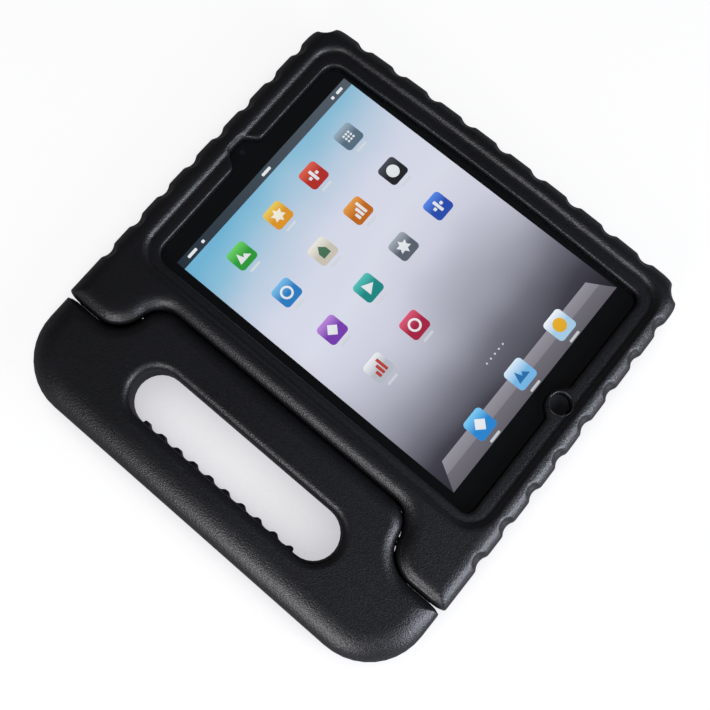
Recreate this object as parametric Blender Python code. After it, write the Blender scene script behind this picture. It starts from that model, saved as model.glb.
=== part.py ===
"""Moulded foam case for a 9.7-inch class tablet, with a hinged carrying handle and the tablet in it.

The case lies on its back with the screen up. +X runs from the tablet's camera end to its home-button end,
+Y points away from the handle and +Z is up. The origin is the bottom centre of the whole object.
The handle turns about an axis along X, through the two ears of the body and the tongue of the handle.
"""
import math

import bmesh
import bpy
from mathutils import Matrix, Vector

MM = 0.001

# Case body
BODY_LENGTH = 266.6 * MM
BODY_WIDTH = 197.0 * MM
CASE_THICKNESS = 26.0 * MM
BACK_WALL = 9.5 * MM
HANDLE_SIDE_WALL = 4.0 * MM
FAR_CORNER_RADIUS = 17.0 * MM
FAR_EDGE_BOW = 2.8 * MM
END_BOW = 1.8 * MM
SHOULDER_RADIUS = 10.0 * MM
BACK_EDGE_RADIUS = 6.0 * MM

# Lip round the screen
LIP_THICKNESS = 4.3 * MM
LIP_OVER_CAMERA_END = 10.4 * MM
LIP_OVER_BUTTON_END = 8.6 * MM
LIP_OVER_HANDLE_SIDE = 13.3 * MM
LIP_OVER_FAR_SIDE = 16.2 * MM
LIP_FAR_BOW = 2.5 * MM
LIP_CORNER_RADIUS_CAMERA_END = 9.0 * MM
LIP_CORNER_RADIUS_BUTTON_END = 5.5 * MM
LIP_EDGE_ROUND = 1.2 * MM
BAND_WIDTH = 8.2 * MM
BAND_WIDTH_HANDLE_SIDE = 5.8 * MM
BAND_CORNER_RADIUS = 15.0 * MM
VALLEY_DEPTH = 0.4 * MM
VALLEY_WIDTH = 2.6 * MM
BUMPER_SLOPE = 4.0 * MM

# Notch for the front camera and ring-shaped tab round the home button
NOTCH_DEPTH = 8.8 * MM
NOTCH_HALF_MOUTH = 11.8 * MM
NOTCH_HALF_FLOOR = 6.2 * MM
NOTCH_FLOOR_ROUND = 6.0 * MM
NOTCH_MOUTH_ROUND = 4.0 * MM
TAB_REACH = 6.6 * MM
TAB_HALF_ROOT = 10.5 * MM
TAB_HALF_TIP = 4.0 * MM
TAB_TIP_ROUND = 8.5 * MM
TAB_ROOT_ROUND = 3.0 * MM
TAB_EDGE_ROUND = 0.3 * MM

# Scallop flutes in the bumper
FLUTE_WIDTH = 10.4 * MM
CORNER_FLUTE_WIDTH = 14.0 * MM
FLUTE_DEPTH = 1.9 * MM
FLUTE_REACH = 8.0 * MM
FLUTE_PITCH_FAR = 25.3 * MM
FLUTES_FAR = 9
FLUTE_PITCH_END = 23.3 * MM
FLUTES_END = 8
FLUTE_LAST_TO_EAR_END = 32.6 * MM
FLUTE_SEGMENTS = 28

# Parting line, ears and hinge
WALL_TO_AXIS = 15.4 * MM
EAR_RADIUS = 13.5 * MM
EAR_FLAT_TO_END = 23.3 * MM
LOBE_RADIUS = 19.0 * MM
TONGUE_CORNER_RADIUS = 14.0 * MM
PARTING_GAP = 0.45 * MM
PARTING_ROUND_TOP = 8.5 * MM
PARTING_ROUND_BACK = 4.0 * MM
EAR_CORNER_ROUND = 16.0 * MM
EAR_CORNER_OVERHANG = 9.0 * MM
SWING_EASE = 0.3 * MM
SWING_CLEARANCE = 1.6 * MM
SWING_OVERSHOOT = 1.8 * MM

# Handle
HANDLE_LENGTH = 264.2 * MM
HANDLE_REACH = 65.5 * MM
HANDLE_CORNER_RADIUS = 36.0 * MM
HANDLE_SHOULDER_WIDTH = 16.0 * MM
HANDLE_SHOULDER_DROP = 11.0 * MM
SLOT_LENGTH = 141.0 * MM
SLOT_WIDTH = 30.0 * MM
SLOT_TO_OUTER_EDGE = 25.2 * MM
SLOT_RIM_TOP = 4.5 * MM
SLOT_RIM_BACK = 3.0 * MM
FINGER_RIDGES = 10
FINGER_RIDGE_PITCH = 11.5 * MM
FINGER_RIDGE_WIDTH = 2.0 * MM
FINGER_RIDGE_HEIGHT = 2.0 * MM
FINGER_RIDGE_ROOT = 3.0 * MM
FINGER_RIDGE_TOP = 14.0 * MM
FINGER_RIDGE_BOTTOM = 3.5 * MM
FINGER_RIDGE_ROUND = 0.6 * MM

# Hinge hardware
PIN_RADIUS = 2.5 * MM
PIN_LENGTH = 54.0 * MM
PIN_TO_END = 65.3 * MM
PIN_CHAMFER = 0.6 * MM
PIN_FIT = 0.3 * MM
SLEEVE_RADIUS = 4.3 * MM
BARB_HEIGHT = 0.6 * MM
BARB_PITCH = 5.0 * MM
SLEEVE_BARBS = 3
INSERT_LENGTH = 20.0 * MM
INSERT_TO_END = 46.8 * MM
SOCKET_LENGTH = 26.0 * MM
SOCKET_TO_END = 35.3 * MM

# Tablet
TABLET_LENGTH = 241.2 * MM
TABLET_WIDTH = 185.7 * MM
TABLET_THICKNESS = 9.4 * MM
TABLET_SHIFT_X = 0.5 * MM
TABLET_CORNER_RADIUS = 12.0 * MM
TABLET_BACK_ROUND = 3.0 * MM
SHELL_FLOOR = 1.2 * MM
SHELL_RIM = 1.4 * MM
GLASS_THICKNESS = 1.0 * MM
DISPLAY_LENGTH = 197.0 * MM
DISPLAY_WIDTH = 147.8 * MM
PANEL_BORDER = 3.5 * MM
PANEL_THICKNESS = 2.2 * MM
HOME_BUTTON_TO_EDGE = 7.6 * MM
HOME_BUTTON_RADIUS = 5.7 * MM
HOME_BUTTON_THICKNESS = 1.6 * MM
HOME_BUTTON_SINK = 0.2 * MM
SWITCH_RADIUS = 3.0 * MM
SWITCH_THICKNESS = 1.4 * MM
SWITCH_DOME_RADIUS = 1.8 * MM
SWITCH_DOME_HEIGHT = 0.4 * MM
BATTERY_CELLS = 3
BATTERY_LENGTH = 56.0 * MM
BATTERY_WIDTH = 118.0 * MM
BATTERY_THICKNESS = 3.8 * MM
BATTERY_PITCH = 60.0 * MM
BATTERY_SHIFT_X = 6.0 * MM
BOARD_LENGTH = 12.0 * MM
BOARD_WIDTH = 110.0 * MM
BOARD_THICKNESS = 1.2 * MM
BOARD_CHIPS = 4
BOARD_CHIP_PITCH = 24.0 * MM
BOARD_CHIP_LENGTH = 6.0 * MM
BOARD_CHIP_WIDTH = 12.0 * MM
BOARD_CHIP_HEIGHT = 1.0 * MM
BOARD_CHIP_CORNER = 0.6 * MM
BOARD_TO_EDGE = 16.5 * MM
REAR_CAMERA_TO_END = 16.6 * MM
REAR_CAMERA_TO_SIDE = 19.8 * MM
REAR_CAMERA_RADIUS = 4.6 * MM
REAR_CAMERA_HEIGHT = 4.0 * MM
LENS_RADIUS = 3.2 * MM
FRONT_CAMERA_TO_END = 6.6 * MM
FRONT_CAMERA_RADIUS = 2.4 * MM
SPEAKER_LENGTH = 16.0 * MM
SPEAKER_WIDTH = 24.0 * MM
SPEAKER_THICKNESS = 4.0 * MM
SPEAKER_SHIFT_Y = -55.0 * MM
CONNECTOR_WIDTH = 24.0 * MM
CONNECTOR_LENGTH = 9.0 * MM
CONNECTOR_THICKNESS = 3.6 * MM
PORT_WIDTH = 21.0 * MM
PORT_HEIGHT = 2.4 * MM
PORT_DEPTH = 6.3 * MM
CONTROL_HEIGHT = 2.4 * MM
CONTROL_PROUD = 0.5 * MM
CONTROL_FLANGE = 0.8 * MM
CONTROL_FLANGE_LIP = 1.0 * MM
POWER_BUTTON_WIDTH = 11.0 * MM
POWER_BUTTON_SHIFT_Y = 60.0 * MM
ROCKER_LENGTH = 24.0 * MM
ROCKER_SHIFT_X = -80.0 * MM

# Openings in the case for the tablet's ports and controls
CAMERA_HOLE_RADIUS = 10.0 * MM
CAMERA_HOLE_FLARE = 3.0 * MM
ACCESS_HEIGHT = 7.6 * MM
ACCESS_CORNER = 2.0 * MM
PORT_ACCESS_WIDTH = 36.0 * MM
POWER_ACCESS_WIDTH = 20.0 * MM
ROCKER_ACCESS_WIDTH = 34.0 * MM

# Fits and facets
FIT = 0.3 * MM
OVERRUN = 1.0 * MM
SAFE = 5.0 * MM
FAR_AWAY = 60.0 * MM
CORNER_STEPS = 7
SHOULDER_STEPS = 5
EDGE_STEPS = 4
SPIN_STEPS = 40
FINE_SPIN_STEPS = 24
SHARPEST_MITRE = 0.3

# Places that follow from the sizes above
CASE_WIDTH = BODY_WIDTH + WALL_TO_AXIS + HANDLE_REACH
FAR_Y = CASE_WIDTH / 2
WALL_Y = FAR_Y - BODY_WIDTH
AXIS_Y = WALL_Y - WALL_TO_AXIS
AXIS_Z = CASE_THICKNESS / 2
HANDLE_Y = AXIS_Y - HANDLE_REACH
EAR_Y = AXIS_Y - EAR_RADIUS
SHOULDER_Y = EAR_Y - PARTING_GAP
EAR_FLAT_X = BODY_LENGTH / 2 - EAR_FLAT_TO_END
PIN_INNER_X = BODY_LENGTH / 2 - PIN_TO_END
INSERT_OUTER_X = BODY_LENGTH / 2 - INSERT_TO_END
SOCKET_INNER_X = BODY_LENGTH / 2 - SOCKET_TO_END
TABLET_Y = WALL_Y + HANDLE_SIDE_WALL + FIT + TABLET_WIDTH / 2
TABLET_X = TABLET_SHIFT_X
TABLET_BOTTOM = BACK_WALL + FIT
TABLET_TOP = TABLET_BOTTOM + TABLET_THICKNESS
GLASS_BOTTOM = TABLET_TOP - GLASS_THICKNESS
SHELL_TOP = GLASS_BOTTOM - FIT
CAVITY_FLOOR = TABLET_BOTTOM + SHELL_FLOOR
INSIDE_FLOOR = CAVITY_FLOOR + FIT
LIP_BOTTOM = TABLET_TOP + FIT
LIP_TOP = LIP_BOTTOM + LIP_THICKNESS
CAMERA_END_X = TABLET_X - TABLET_LENGTH / 2
BUTTON_END_X = TABLET_X + TABLET_LENGTH / 2
HOME_BUTTON_X = BUTTON_END_X - HOME_BUTTON_TO_EDGE
CONTROL_Z = (TABLET_BOTTOM + SHELL_TOP) / 2
CONTROL_DEPTH = SHELL_RIM + FIT + CONTROL_FLANGE / 2
TABLET_FAR_Y = TABLET_Y + TABLET_WIDTH / 2
REAR_CAMERA_X = CAMERA_END_X + REAR_CAMERA_TO_END
REAR_CAMERA_Y = TABLET_FAR_Y - REAR_CAMERA_TO_SIDE
POWER_Y = TABLET_Y + POWER_BUTTON_SHIFT_Y
ROCKER_X = TABLET_X + ROCKER_SHIFT_X
SLOT_Y = HANDLE_Y + SLOT_TO_OUTER_EDGE + SLOT_WIDTH / 2


def clear_scene():
    """Remove every object of the starting scene."""
    for old in list(bpy.data.objects):
        bpy.data.objects.remove(old, do_unlink=True)


def material(name, colour, roughness, metallic=0.0):
    """Return a Principled material with one colour, roughness and metallic value."""
    made = bpy.data.materials.new(name)
    made.use_nodes = True
    shader = made.node_tree.nodes["Principled BSDF"]
    shader.inputs["Base Color"].default_value = (*colour, 1.0)
    shader.inputs["Roughness"].default_value = roughness
    shader.inputs["Metallic"].default_value = metallic
    return made


def new_object(name, bm, finish=None, smooth_angle=35.0):
    """Turn a bmesh into a linked object, with round faces shaded smooth."""
    bmesh.ops.recalc_face_normals(bm, faces=bm.faces[:])
    mesh = bpy.data.meshes.new(name)
    bm.to_mesh(mesh)
    bm.free()
    mesh.shade_smooth()
    mesh.set_sharp_from_angle(angle=math.radians(smooth_angle))
    made = bpy.data.objects.new(name, mesh)
    bpy.context.collection.objects.link(made)
    if finish:
        mesh.materials.append(finish)
    return made


def arc(centre, radius, start, end, steps):
    """Return points on an arc, both ends included, with angles in degrees."""
    points = []
    for step in range(steps + 1):
        angle = math.radians(start + (end - start) * step / steps)
        points.append((centre[0] + radius * math.cos(angle), centre[1] + radius * math.sin(angle)))
    return points


def filleted(corners, steps=CORNER_STEPS):
    """Return an outline from corners (x, y, radius), each corner rounded by its radius."""
    outline = []
    count = len(corners)
    for index, (x, y, radius) in enumerate(corners):
        here = Vector((x, y))
        if radius <= 0:
            outline.append((x, y))
            continue
        before = (Vector(corners[index - 1][:2]) - here).normalized()
        after = (Vector(corners[(index + 1) % count][:2]) - here).normalized()
        half = before.angle(after) / 2
        centre = here + (before + after).normalized() * (radius / math.sin(half))
        first = here + before * (radius / math.tan(half)) - centre
        last = here + after * (radius / math.tan(half)) - centre
        turn = first.angle_signed(last)
        for step in range(steps + 1):
            spoke = first.copy()
            spoke.rotate(Matrix.Rotation(-turn * step / steps, 2))
            outline.append(tuple(centre + spoke))
    return outline


def rounded_rectangle(x0, x1, y0, y1, radius, steps=CORNER_STEPS):
    """Return a rectangle's outline with round corners."""
    return filleted([(x0, y0, radius), (x1, y0, radius), (x1, y1, radius), (x0, y1, radius)], steps)


def circle(x, y, radius, steps=28):
    """Return a circle's outline."""
    return arc((x, y), radius, 0, 360, steps)[:-1]


def offset_outline(outline, inset):
    """Move every side of a counter-clockwise outline inwards by inset."""
    moved = []
    count = len(outline)
    for index, point in enumerate(outline):
        before = (Vector(point) - Vector(outline[index - 1])).normalized()
        after = (Vector(outline[(index + 1) % count]) - Vector(point)).normalized()
        normal = (Vector((-before.y, before.x)) + Vector((-after.y, after.x))).normalized()
        stretch = 1.0 / max(SHARPEST_MITRE, normal.dot(Vector((-before.y, before.x))))
        moved.append(tuple(Vector(point) + normal * inset * stretch))
    return moved


def lofted(bm, outline, levels):
    """Add a closed solid to bm through an outline's copies at (inset, z) levels."""
    rings = []
    for inset, z in levels:
        points = offset_outline(outline, inset)
        rings.append([bm.verts.new((x, y, z)) for x, y in points])
    count = len(outline)
    for lower, upper in zip(rings, rings[1:]):
        for index in range(count):
            follow = (index + 1) % count
            bm.faces.new((lower[index], lower[follow], upper[follow], upper[index]))
    bm.faces.new(list(reversed(rings[0])))
    bm.faces.new(rings[-1])
    return bm


def prism(outline, z0, z1):
    """Return a bmesh of a straight prism."""
    return lofted(bmesh.new(), outline, [(0.0, z0), (0.0, z1)])


def rounded_levels(z0, z1, round_bottom, round_top, steps_bottom, steps_top, drop=None):
    """Return (inset, z) levels of a slab with quarter-round edges, the upper one drop high if given."""
    drop = round_top if drop is None else drop
    levels = []
    for step in range(steps_bottom + 1):
        angle = math.pi / 2 * step / steps_bottom
        levels.append((round_bottom * (1 - math.sin(angle)), z0 + round_bottom * (1 - math.cos(angle))))
    for step in range(steps_top + 1):
        angle = math.pi / 2 * step / steps_top
        levels.append((round_top * (1 - math.cos(angle)), z1 - drop * (1 - math.sin(angle))))
    return levels


def flared_levels(z0, z1, rim_bottom, rim_top, steps):
    """Return (inset, z) levels of a cutter that leaves quarter rounds on both rims of its hole."""
    levels = [(-rim_bottom, z0 - SAFE)]
    for step in range(steps + 1):
        angle = math.pi / 2 * (1 - step / steps)
        levels.append((-rim_bottom * (1 - math.cos(angle)), z0 + rim_bottom * (1 - math.sin(angle))))
    for step in range(steps + 1):
        angle = math.pi / 2 * step / steps
        levels.append((-rim_top * (1 - math.cos(angle)), z1 - rim_top * (1 - math.sin(angle))))
    return levels + [(-rim_top, z1 + SAFE)]


def turned(profile, steps=SPIN_STEPS):
    """Return a bmesh of (along X, radius) points spun round the X axis, closed at both ends."""
    bm = bmesh.new()
    points = [(profile[0][0], 0.0)] + list(profile) + [(profile[-1][0], 0.0)]
    verts = [bm.verts.new((x, radius, 0.0)) for x, radius in points]
    edges = [bm.edges.new(pair) for pair in zip(verts, verts[1:])]
    bmesh.ops.spin(bm, geom=verts + edges, cent=(0, 0, 0), axis=(1, 0, 0), angle=2 * math.pi,
                   steps=steps, use_merge=True)
    bmesh.ops.remove_doubles(bm, verts=bm.verts[:], dist=1e-7)
    bmesh.ops.dissolve_degenerate(bm, edges=bm.edges[:], dist=1e-7)
    return bm


def placed(bm, matrix):
    """Move a bmesh by a matrix."""
    bmesh.ops.transform(bm, matrix=matrix, verts=bm.verts[:])
    return bm


def joined(*parts):
    """Return one bmesh with the shapes of several that don't touch."""
    whole = bmesh.new()
    for part in parts:
        step = bpy.data.meshes.new("step")
        part.to_mesh(step)
        part.free()
        whole.from_mesh(step)
        bpy.data.meshes.remove(step)
    return whole


def combine(target, bm, operation):
    """Apply a Boolean with the shape of bm to the target object, and drop the cutter."""
    tool = new_object("cutter", bm)
    step = target.modifiers.new(operation.lower(), "BOOLEAN")
    step.operation = operation
    step.solver = "EXACT"
    step.object = tool
    graph = bpy.context.evaluated_depsgraph_get()
    mesh = bpy.data.meshes.new_from_object(target.evaluated_get(graph))
    target.modifiers.clear()
    old = target.data
    target.data = mesh
    bpy.data.meshes.remove(old)
    spent = tool.data
    bpy.data.objects.remove(tool)
    bpy.data.meshes.remove(spent)
    return target


def mesh_of(target):
    """Return a bmesh copy of an object's mesh and remove the object."""
    bm = bmesh.new()
    bm.from_mesh(target.data)
    spent = target.data
    bpy.data.objects.remove(target)
    bpy.data.meshes.remove(spent)
    return bm


def finish_solid(target, name, finish, smooth_angle=35.0):
    """Clean a solid after its Booleans, name it and give it its material."""
    bm = bmesh.new()
    bm.from_mesh(target.data)
    bmesh.ops.remove_doubles(bm, verts=bm.verts[:], dist=2e-6)
    bmesh.ops.dissolve_degenerate(bm, edges=bm.edges[:], dist=2e-6)
    bm.to_mesh(target.data)
    bm.free()
    target.name = name
    target.data.name = name
    target.data.materials.clear()
    target.data.materials.append(finish)
    target.data.shade_smooth()
    target.data.set_sharp_from_angle(angle=math.radians(smooth_angle))
    return target


def lobe_centre():
    """Return the centre of the ear lobe's arc on the right-hand parting line."""
    return EAR_FLAT_X, EAR_Y - PARTING_GAP / 2 + LOBE_RADIUS


def tongue_corner_centre():
    """Return the centre of the tongue corner's arc, tangent to the lobe's arc."""
    lobe_x, lobe_y = lobe_centre()
    y = WALL_Y - PARTING_GAP / 2 - TONGUE_CORNER_RADIUS
    reach = LOBE_RADIUS + TONGUE_CORNER_RADIUS
    return lobe_x - math.sqrt(reach ** 2 - (lobe_y - y) ** 2), y


def parting_curve(side):
    """Return the right half of the parting line, moved by half the gap: side 1 body, -1 handle."""
    lobe = lobe_centre()
    corner = tongue_corner_centre()
    lean = math.degrees(math.atan2(lobe[1] - corner[1], lobe[0] - corner[0]))
    half_gap = side * PARTING_GAP / 2
    points = arc(corner, TONGUE_CORNER_RADIUS + half_gap, 90, lean, CORNER_STEPS)
    points += arc(lobe, LOBE_RADIUS - half_gap, 180 + lean, 270, CORNER_STEPS)[1:]
    return points


def body_keeper():
    """Return the outline of the body's share of the case, on the body side of the parting line."""
    side = BODY_LENGTH / 2 + EAR_CORNER_OVERHANG
    end = filleted([(0, EAR_Y, 0), (side, EAR_Y, EAR_CORNER_ROUND), (side, FAR_Y, 0)])[1:-1]
    right = parting_curve(1) + end + [(side, FAR_Y + FAR_AWAY)]
    return [(-x, y) for x, y in reversed(right)] + right


def handle_keeper():
    """Return the outline of the handle's share of the case, on the handle side of the parting line."""
    side = HANDLE_LENGTH / 2 + EAR_CORNER_OVERHANG
    end = filleted([(0, SHOULDER_Y, 0), (side, SHOULDER_Y, EAR_CORNER_ROUND), (side, HANDLE_Y, 0)])[1:-1]
    right = parting_curve(-1) + end + [(side, HANDLE_Y - FAR_AWAY)]
    return list(reversed([(-x, y) for x, y in reversed(right)] + right))


def keeper_solid(outline):
    """Return a bmesh of a keeper with quarter rounds where it meets the case's top and back."""
    levels = rounded_levels(0.0, CASE_THICKNESS, PARTING_ROUND_BACK, PARTING_ROUND_TOP, EDGE_STEPS,
                            SHOULDER_STEPS)
    levels = [(levels[0][0], -SAFE)] + levels + [(levels[-1][0], CASE_THICKNESS + SAFE)]
    return lofted(bmesh.new(), outline, levels)


def body_outline():
    """Return the body's plan outline, bowed on its far edge and ends and run on past the ears."""
    half = BODY_LENGTH / 2
    start = EAR_Y - FAR_AWAY / 2
    end = half - END_BOW
    corners = [
        (-half, start, 0), (half, start, 0),
        (half, 0, BODY_WIDTH), (end, FAR_Y - FAR_EDGE_BOW, FAR_CORNER_RADIUS),
        bowed_corner(-end, end, FAR_Y - FAR_EDGE_BOW, FAR_EDGE_BOW),
        (-end, FAR_Y - FAR_EDGE_BOW, FAR_CORNER_RADIUS), (-half, 0, BODY_WIDTH),
    ]
    return filleted(corners)


def bowed_corner(x0, x1, y, bow):
    """Return the rounded corner that bows a side at y out by bow at its middle."""
    return ((x0 + x1) / 2, y + 1.5 * bow, (x1 - x0) ** 2 / (9 * bow))


def case_slab(outline):
    """Return a bmesh of the case's full section on an outline."""
    levels = rounded_levels(0.0, CASE_THICKNESS, BACK_EDGE_RADIUS, SHOULDER_RADIUS, EDGE_STEPS,
                            SHOULDER_STEPS)
    return lofted(bmesh.new(), outline, levels)


def edge_at(outline, fixed_axis, value, sign):
    """Return where an outline crosses a line, on the side given by sign, along the other axis."""
    other = 1 - fixed_axis
    best = None
    for start, end in zip(outline, outline[1:] + outline[:1]):
        low, high = sorted((start[fixed_axis], end[fixed_axis]))
        if low <= value <= high and high > low:
            share = (value - start[fixed_axis]) / (end[fixed_axis] - start[fixed_axis])
            place = start[other] + share * (end[other] - start[other])
            if best is None or place * sign > best * sign:
                best = place
    return best


def flute_places(outline):
    """Return (edge point, outward direction, width) of every flute along the bumper."""
    places = []
    for index in range(FLUTES_FAR):
        x = TABLET_X + (index - (FLUTES_FAR - 1) / 2) * FLUTE_PITCH_FAR
        places.append(((x, edge_at(outline, 0, x, 1)), (0.0, 1.0), FLUTE_WIDTH))
    for side in (-1, 1):
        for index in range(FLUTES_END):
            y = EAR_Y + FLUTE_LAST_TO_EAR_END + index * FLUTE_PITCH_END
            places.append(((edge_at(outline, 1, y, side), y), (float(side), 0.0), FLUTE_WIDTH))
        slant = math.sqrt(0.5)
        back_off = FAR_CORNER_RADIUS * (1 - slant)
        point = (side * (BODY_LENGTH / 2 - END_BOW - back_off), FAR_Y - FAR_EDGE_BOW - back_off)
        places.append((point, (side * slant, slant), CORNER_FLUTE_WIDTH))
    return places


def scoop_rings(width):
    """Return rings of (depth, across, z) points of a ball cutter run up the side and over the shoulder."""
    radius = (width ** 2 / 4 + FLUTE_DEPTH ** 2) / (2 * FLUTE_DEPTH)
    bend = SHOULDER_RADIUS + radius - FLUTE_DEPTH
    shoulder_z = CASE_THICKNESS - SHOULDER_RADIUS
    stop = math.acos(1 - FLUTE_REACH / SHOULDER_RADIUS) - width / 2 / SHOULDER_RADIUS
    step = 2 * math.pi / FLUTE_SEGMENTS
    stations = [(0.0, -SAFE, 0.0)]
    for index in range(SHOULDER_STEPS + 1):
        lean = stop * index / SHOULDER_STEPS
        stations.append((lean, shoulder_z, 0.0))
    stations += [(stop, shoulder_z, step * index) for index in range(1, FLUTE_SEGMENTS // 4)]
    rings = []
    for lean, z, lift in stations:
        inward, up = math.sin(lean), math.cos(lean)
        ahead, spread = radius * math.sin(lift), radius * math.cos(lift)
        ring = []
        for index in range(FLUTE_SEGMENTS):
            out, across = spread * math.cos(step * index), spread * math.sin(step * index)
            ring.append((SHOULDER_RADIUS - up * (bend + out) + inward * ahead, across,
                         z + inward * (bend + out) + up * ahead))
        rings.append(ring)
    return rings


def flute_cutter(outline):
    """Return a bmesh of all flutes, each scooped out by a ball cutter."""
    bm = bmesh.new()
    for (x, y), (out_x, out_y), width in flute_places(outline):
        rings = [[bm.verts.new((x - out_x * depth - out_y * across, y - out_y * depth + out_x * across, z))
                  for depth, across, z in ring] for ring in scoop_rings(width)]
        for lower, upper in zip(rings, rings[1:]):
            for index in range(FLUTE_SEGMENTS):
                follow = (index + 1) % FLUTE_SEGMENTS
                bm.faces.new((lower[index], lower[follow], upper[follow], upper[index]))
        bm.faces.new(list(reversed(rings[0])))
        bm.faces.new(rings[-1])
    return bm


def lip_sides():
    """Return the lip opening's x0, x1, y0 and y1 at its corners."""
    return (CAMERA_END_X + LIP_OVER_CAMERA_END, BUTTON_END_X - LIP_OVER_BUTTON_END,
            TABLET_FAR_Y - TABLET_WIDTH + LIP_OVER_HANDLE_SIDE, TABLET_FAR_Y - LIP_OVER_FAR_SIDE)


def lip_opening():
    """Return the outline of the lip opening, with the camera notch and the tab round the home button."""
    x0, x1, y0, y1 = lip_sides()
    tab = [(x1, TABLET_Y - TAB_HALF_ROOT, TAB_ROOT_ROUND),
           (x1 - TAB_REACH, TABLET_Y - TAB_HALF_TIP, TAB_TIP_ROUND),
           (x1 - TAB_REACH, TABLET_Y + TAB_HALF_TIP, TAB_TIP_ROUND),
           (x1, TABLET_Y + TAB_HALF_ROOT, TAB_ROOT_ROUND)]
    notch = [(x0, TABLET_Y + NOTCH_HALF_MOUTH, NOTCH_MOUTH_ROUND),
             (x0 - NOTCH_DEPTH, TABLET_Y + NOTCH_HALF_FLOOR, NOTCH_FLOOR_ROUND),
             (x0 - NOTCH_DEPTH, TABLET_Y - NOTCH_HALF_FLOOR, NOTCH_FLOOR_ROUND),
             (x0, TABLET_Y - NOTCH_HALF_MOUTH, NOTCH_MOUTH_ROUND)]
    camera_end, button_end = LIP_CORNER_RADIUS_CAMERA_END, LIP_CORNER_RADIUS_BUTTON_END
    corners = [(x0, y0, camera_end), (x1, y0, button_end)] + tab
    corners += [(x1, y1, button_end), bowed_corner(x0, x1, y1, LIP_FAR_BOW), (x0, y1, camera_end)]
    return filleted(corners + notch, SHOULDER_STEPS)


def lip_cutter():
    """Return a bmesh of the space inside the lip, with the lip's edge rounded."""
    levels = [(0.0, LIP_BOTTOM - SAFE / 2), (0.0, LIP_TOP - LIP_EDGE_ROUND)]
    for step in range(1, EDGE_STEPS + 1):
        angle = math.pi / 2 * step / EDGE_STEPS
        levels.append((-LIP_EDGE_ROUND * (1 - math.cos(angle)),
                       LIP_TOP - LIP_EDGE_ROUND * (1 - math.sin(angle))))
    levels.append((-LIP_EDGE_ROUND, CASE_THICKNESS + SAFE))
    return lofted(bmesh.new(), lip_opening(), levels)


def band_cutter():
    """Return a bmesh that sinks the band round the screen below the bumper, with a soft valley between."""
    x0, x1, y0, y1 = lip_sides()
    x0, x1 = x0 - BAND_WIDTH, x1 + BAND_WIDTH
    y0, y1 = y0 - BAND_WIDTH_HANDLE_SIDE, y1 + BAND_WIDTH
    outline = filleted([(x0, y0, BAND_CORNER_RADIUS), (x1, y0, BAND_CORNER_RADIUS),
                        (x1, y1, BAND_CORNER_RADIUS), bowed_corner(x0, x1, y1, LIP_FAR_BOW),
                        (x0, y1, BAND_CORNER_RADIUS)])
    valley = LIP_TOP - VALLEY_DEPTH
    rise = CASE_THICKNESS - valley
    levels = [(VALLEY_WIDTH, LIP_TOP), (VALLEY_WIDTH / 2, valley + VALLEY_DEPTH / 4),
              (VALLEY_WIDTH / 8, valley)]
    for step in range(1, SHOULDER_STEPS + 1):
        angle = math.pi / 2 * step / SHOULDER_STEPS
        levels.append((-BUMPER_SLOPE * (1 - math.cos(angle)), valley + rise * math.sin(angle)))
    levels.append((-BUMPER_SLOPE, CASE_THICKNESS + SAFE))
    return lofted(bmesh.new(), outline, levels)


def axis_frame(x=0.0):
    """Return the matrix that puts a shape turned round X onto the hinge axis, x along it."""
    return Matrix.Translation((x, AXIS_Y, AXIS_Z))


def ear_barrel():
    """Return a bmesh of the right ear's lobe as a shape turned round the hinge axis."""
    profile = [(x, AXIS_Y - y - SWING_EASE) for x, y in parting_curve(1)]
    profile = [(x, radius) for x, radius in profile if radius > 0]
    profile.append((BODY_LENGTH / 2 + 2 * SAFE, EAR_RADIUS - SWING_EASE))
    return placed(turned(profile), axis_frame())


def tongue_barrel():
    """Return a bmesh of the tongue's end as a shape turned round the hinge axis."""
    half = [(x, y - AXIS_Y - SWING_EASE) for x, y in parting_curve(-1)]
    half = [(x, radius) for x, radius in half if radius > 0]
    return placed(turned([(-x, radius) for x, radius in reversed(half)] + half), axis_frame())


def relief_cutters():
    """Return bmeshes of what the swinging handle needs free under the right ear and beside it."""
    lobe_x, lobe_y = lobe_centre()
    inner = tongue_corner_centre()[0]
    deep = lobe_y - AXIS_Y + AXIS_Z + PARTING_GAP
    outer = lobe_x - math.sqrt((LOBE_RADIUS + PARTING_GAP / 2) ** 2 - deep ** 2)
    past_end = BODY_LENGTH / 2 + SAFE
    blocks = []
    for x1, y0, y1, top in ((past_end, EAR_Y - 2 * SAFE, AXIS_Y, AXIS_Z),
                            (outer, AXIS_Y, AXIS_Y + AXIS_Z + SWING_CLEARANCE, AXIS_Z + SWING_OVERSHOOT)):
        plan = [(inner, y0), (x1, y0), (x1, y1), (inner, y1)]
        block = new_object("relief", prism(plan, -SAFE, top))
        combine(block, ear_barrel(), "DIFFERENCE")
        blocks.append(mesh_of(block))
    return blocks


def on_pivot(target, pivot):
    """Move an object's origin to a point on its joint axis, and leave its shape where it is."""
    target.data.transform(Matrix.Translation(pivot).inverted())
    target.location = pivot
    return target


def mirrored(bm):
    """Return a shape and its mirror image in the YZ plane as one bmesh."""
    other = bm.copy()
    bmesh.ops.scale(other, vec=(-1, 1, 1), verts=other.verts[:])
    bmesh.ops.reverse_faces(other, faces=other.faces[:])
    return joined(bm, other)


def bore(inner_x, length, radius, steps=20):
    """Return a bmesh of the pair of bores on the hinge axis."""
    return mirrored(placed(turned([(0.0, radius), (length, radius)], steps), axis_frame(inner_x)))


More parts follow.
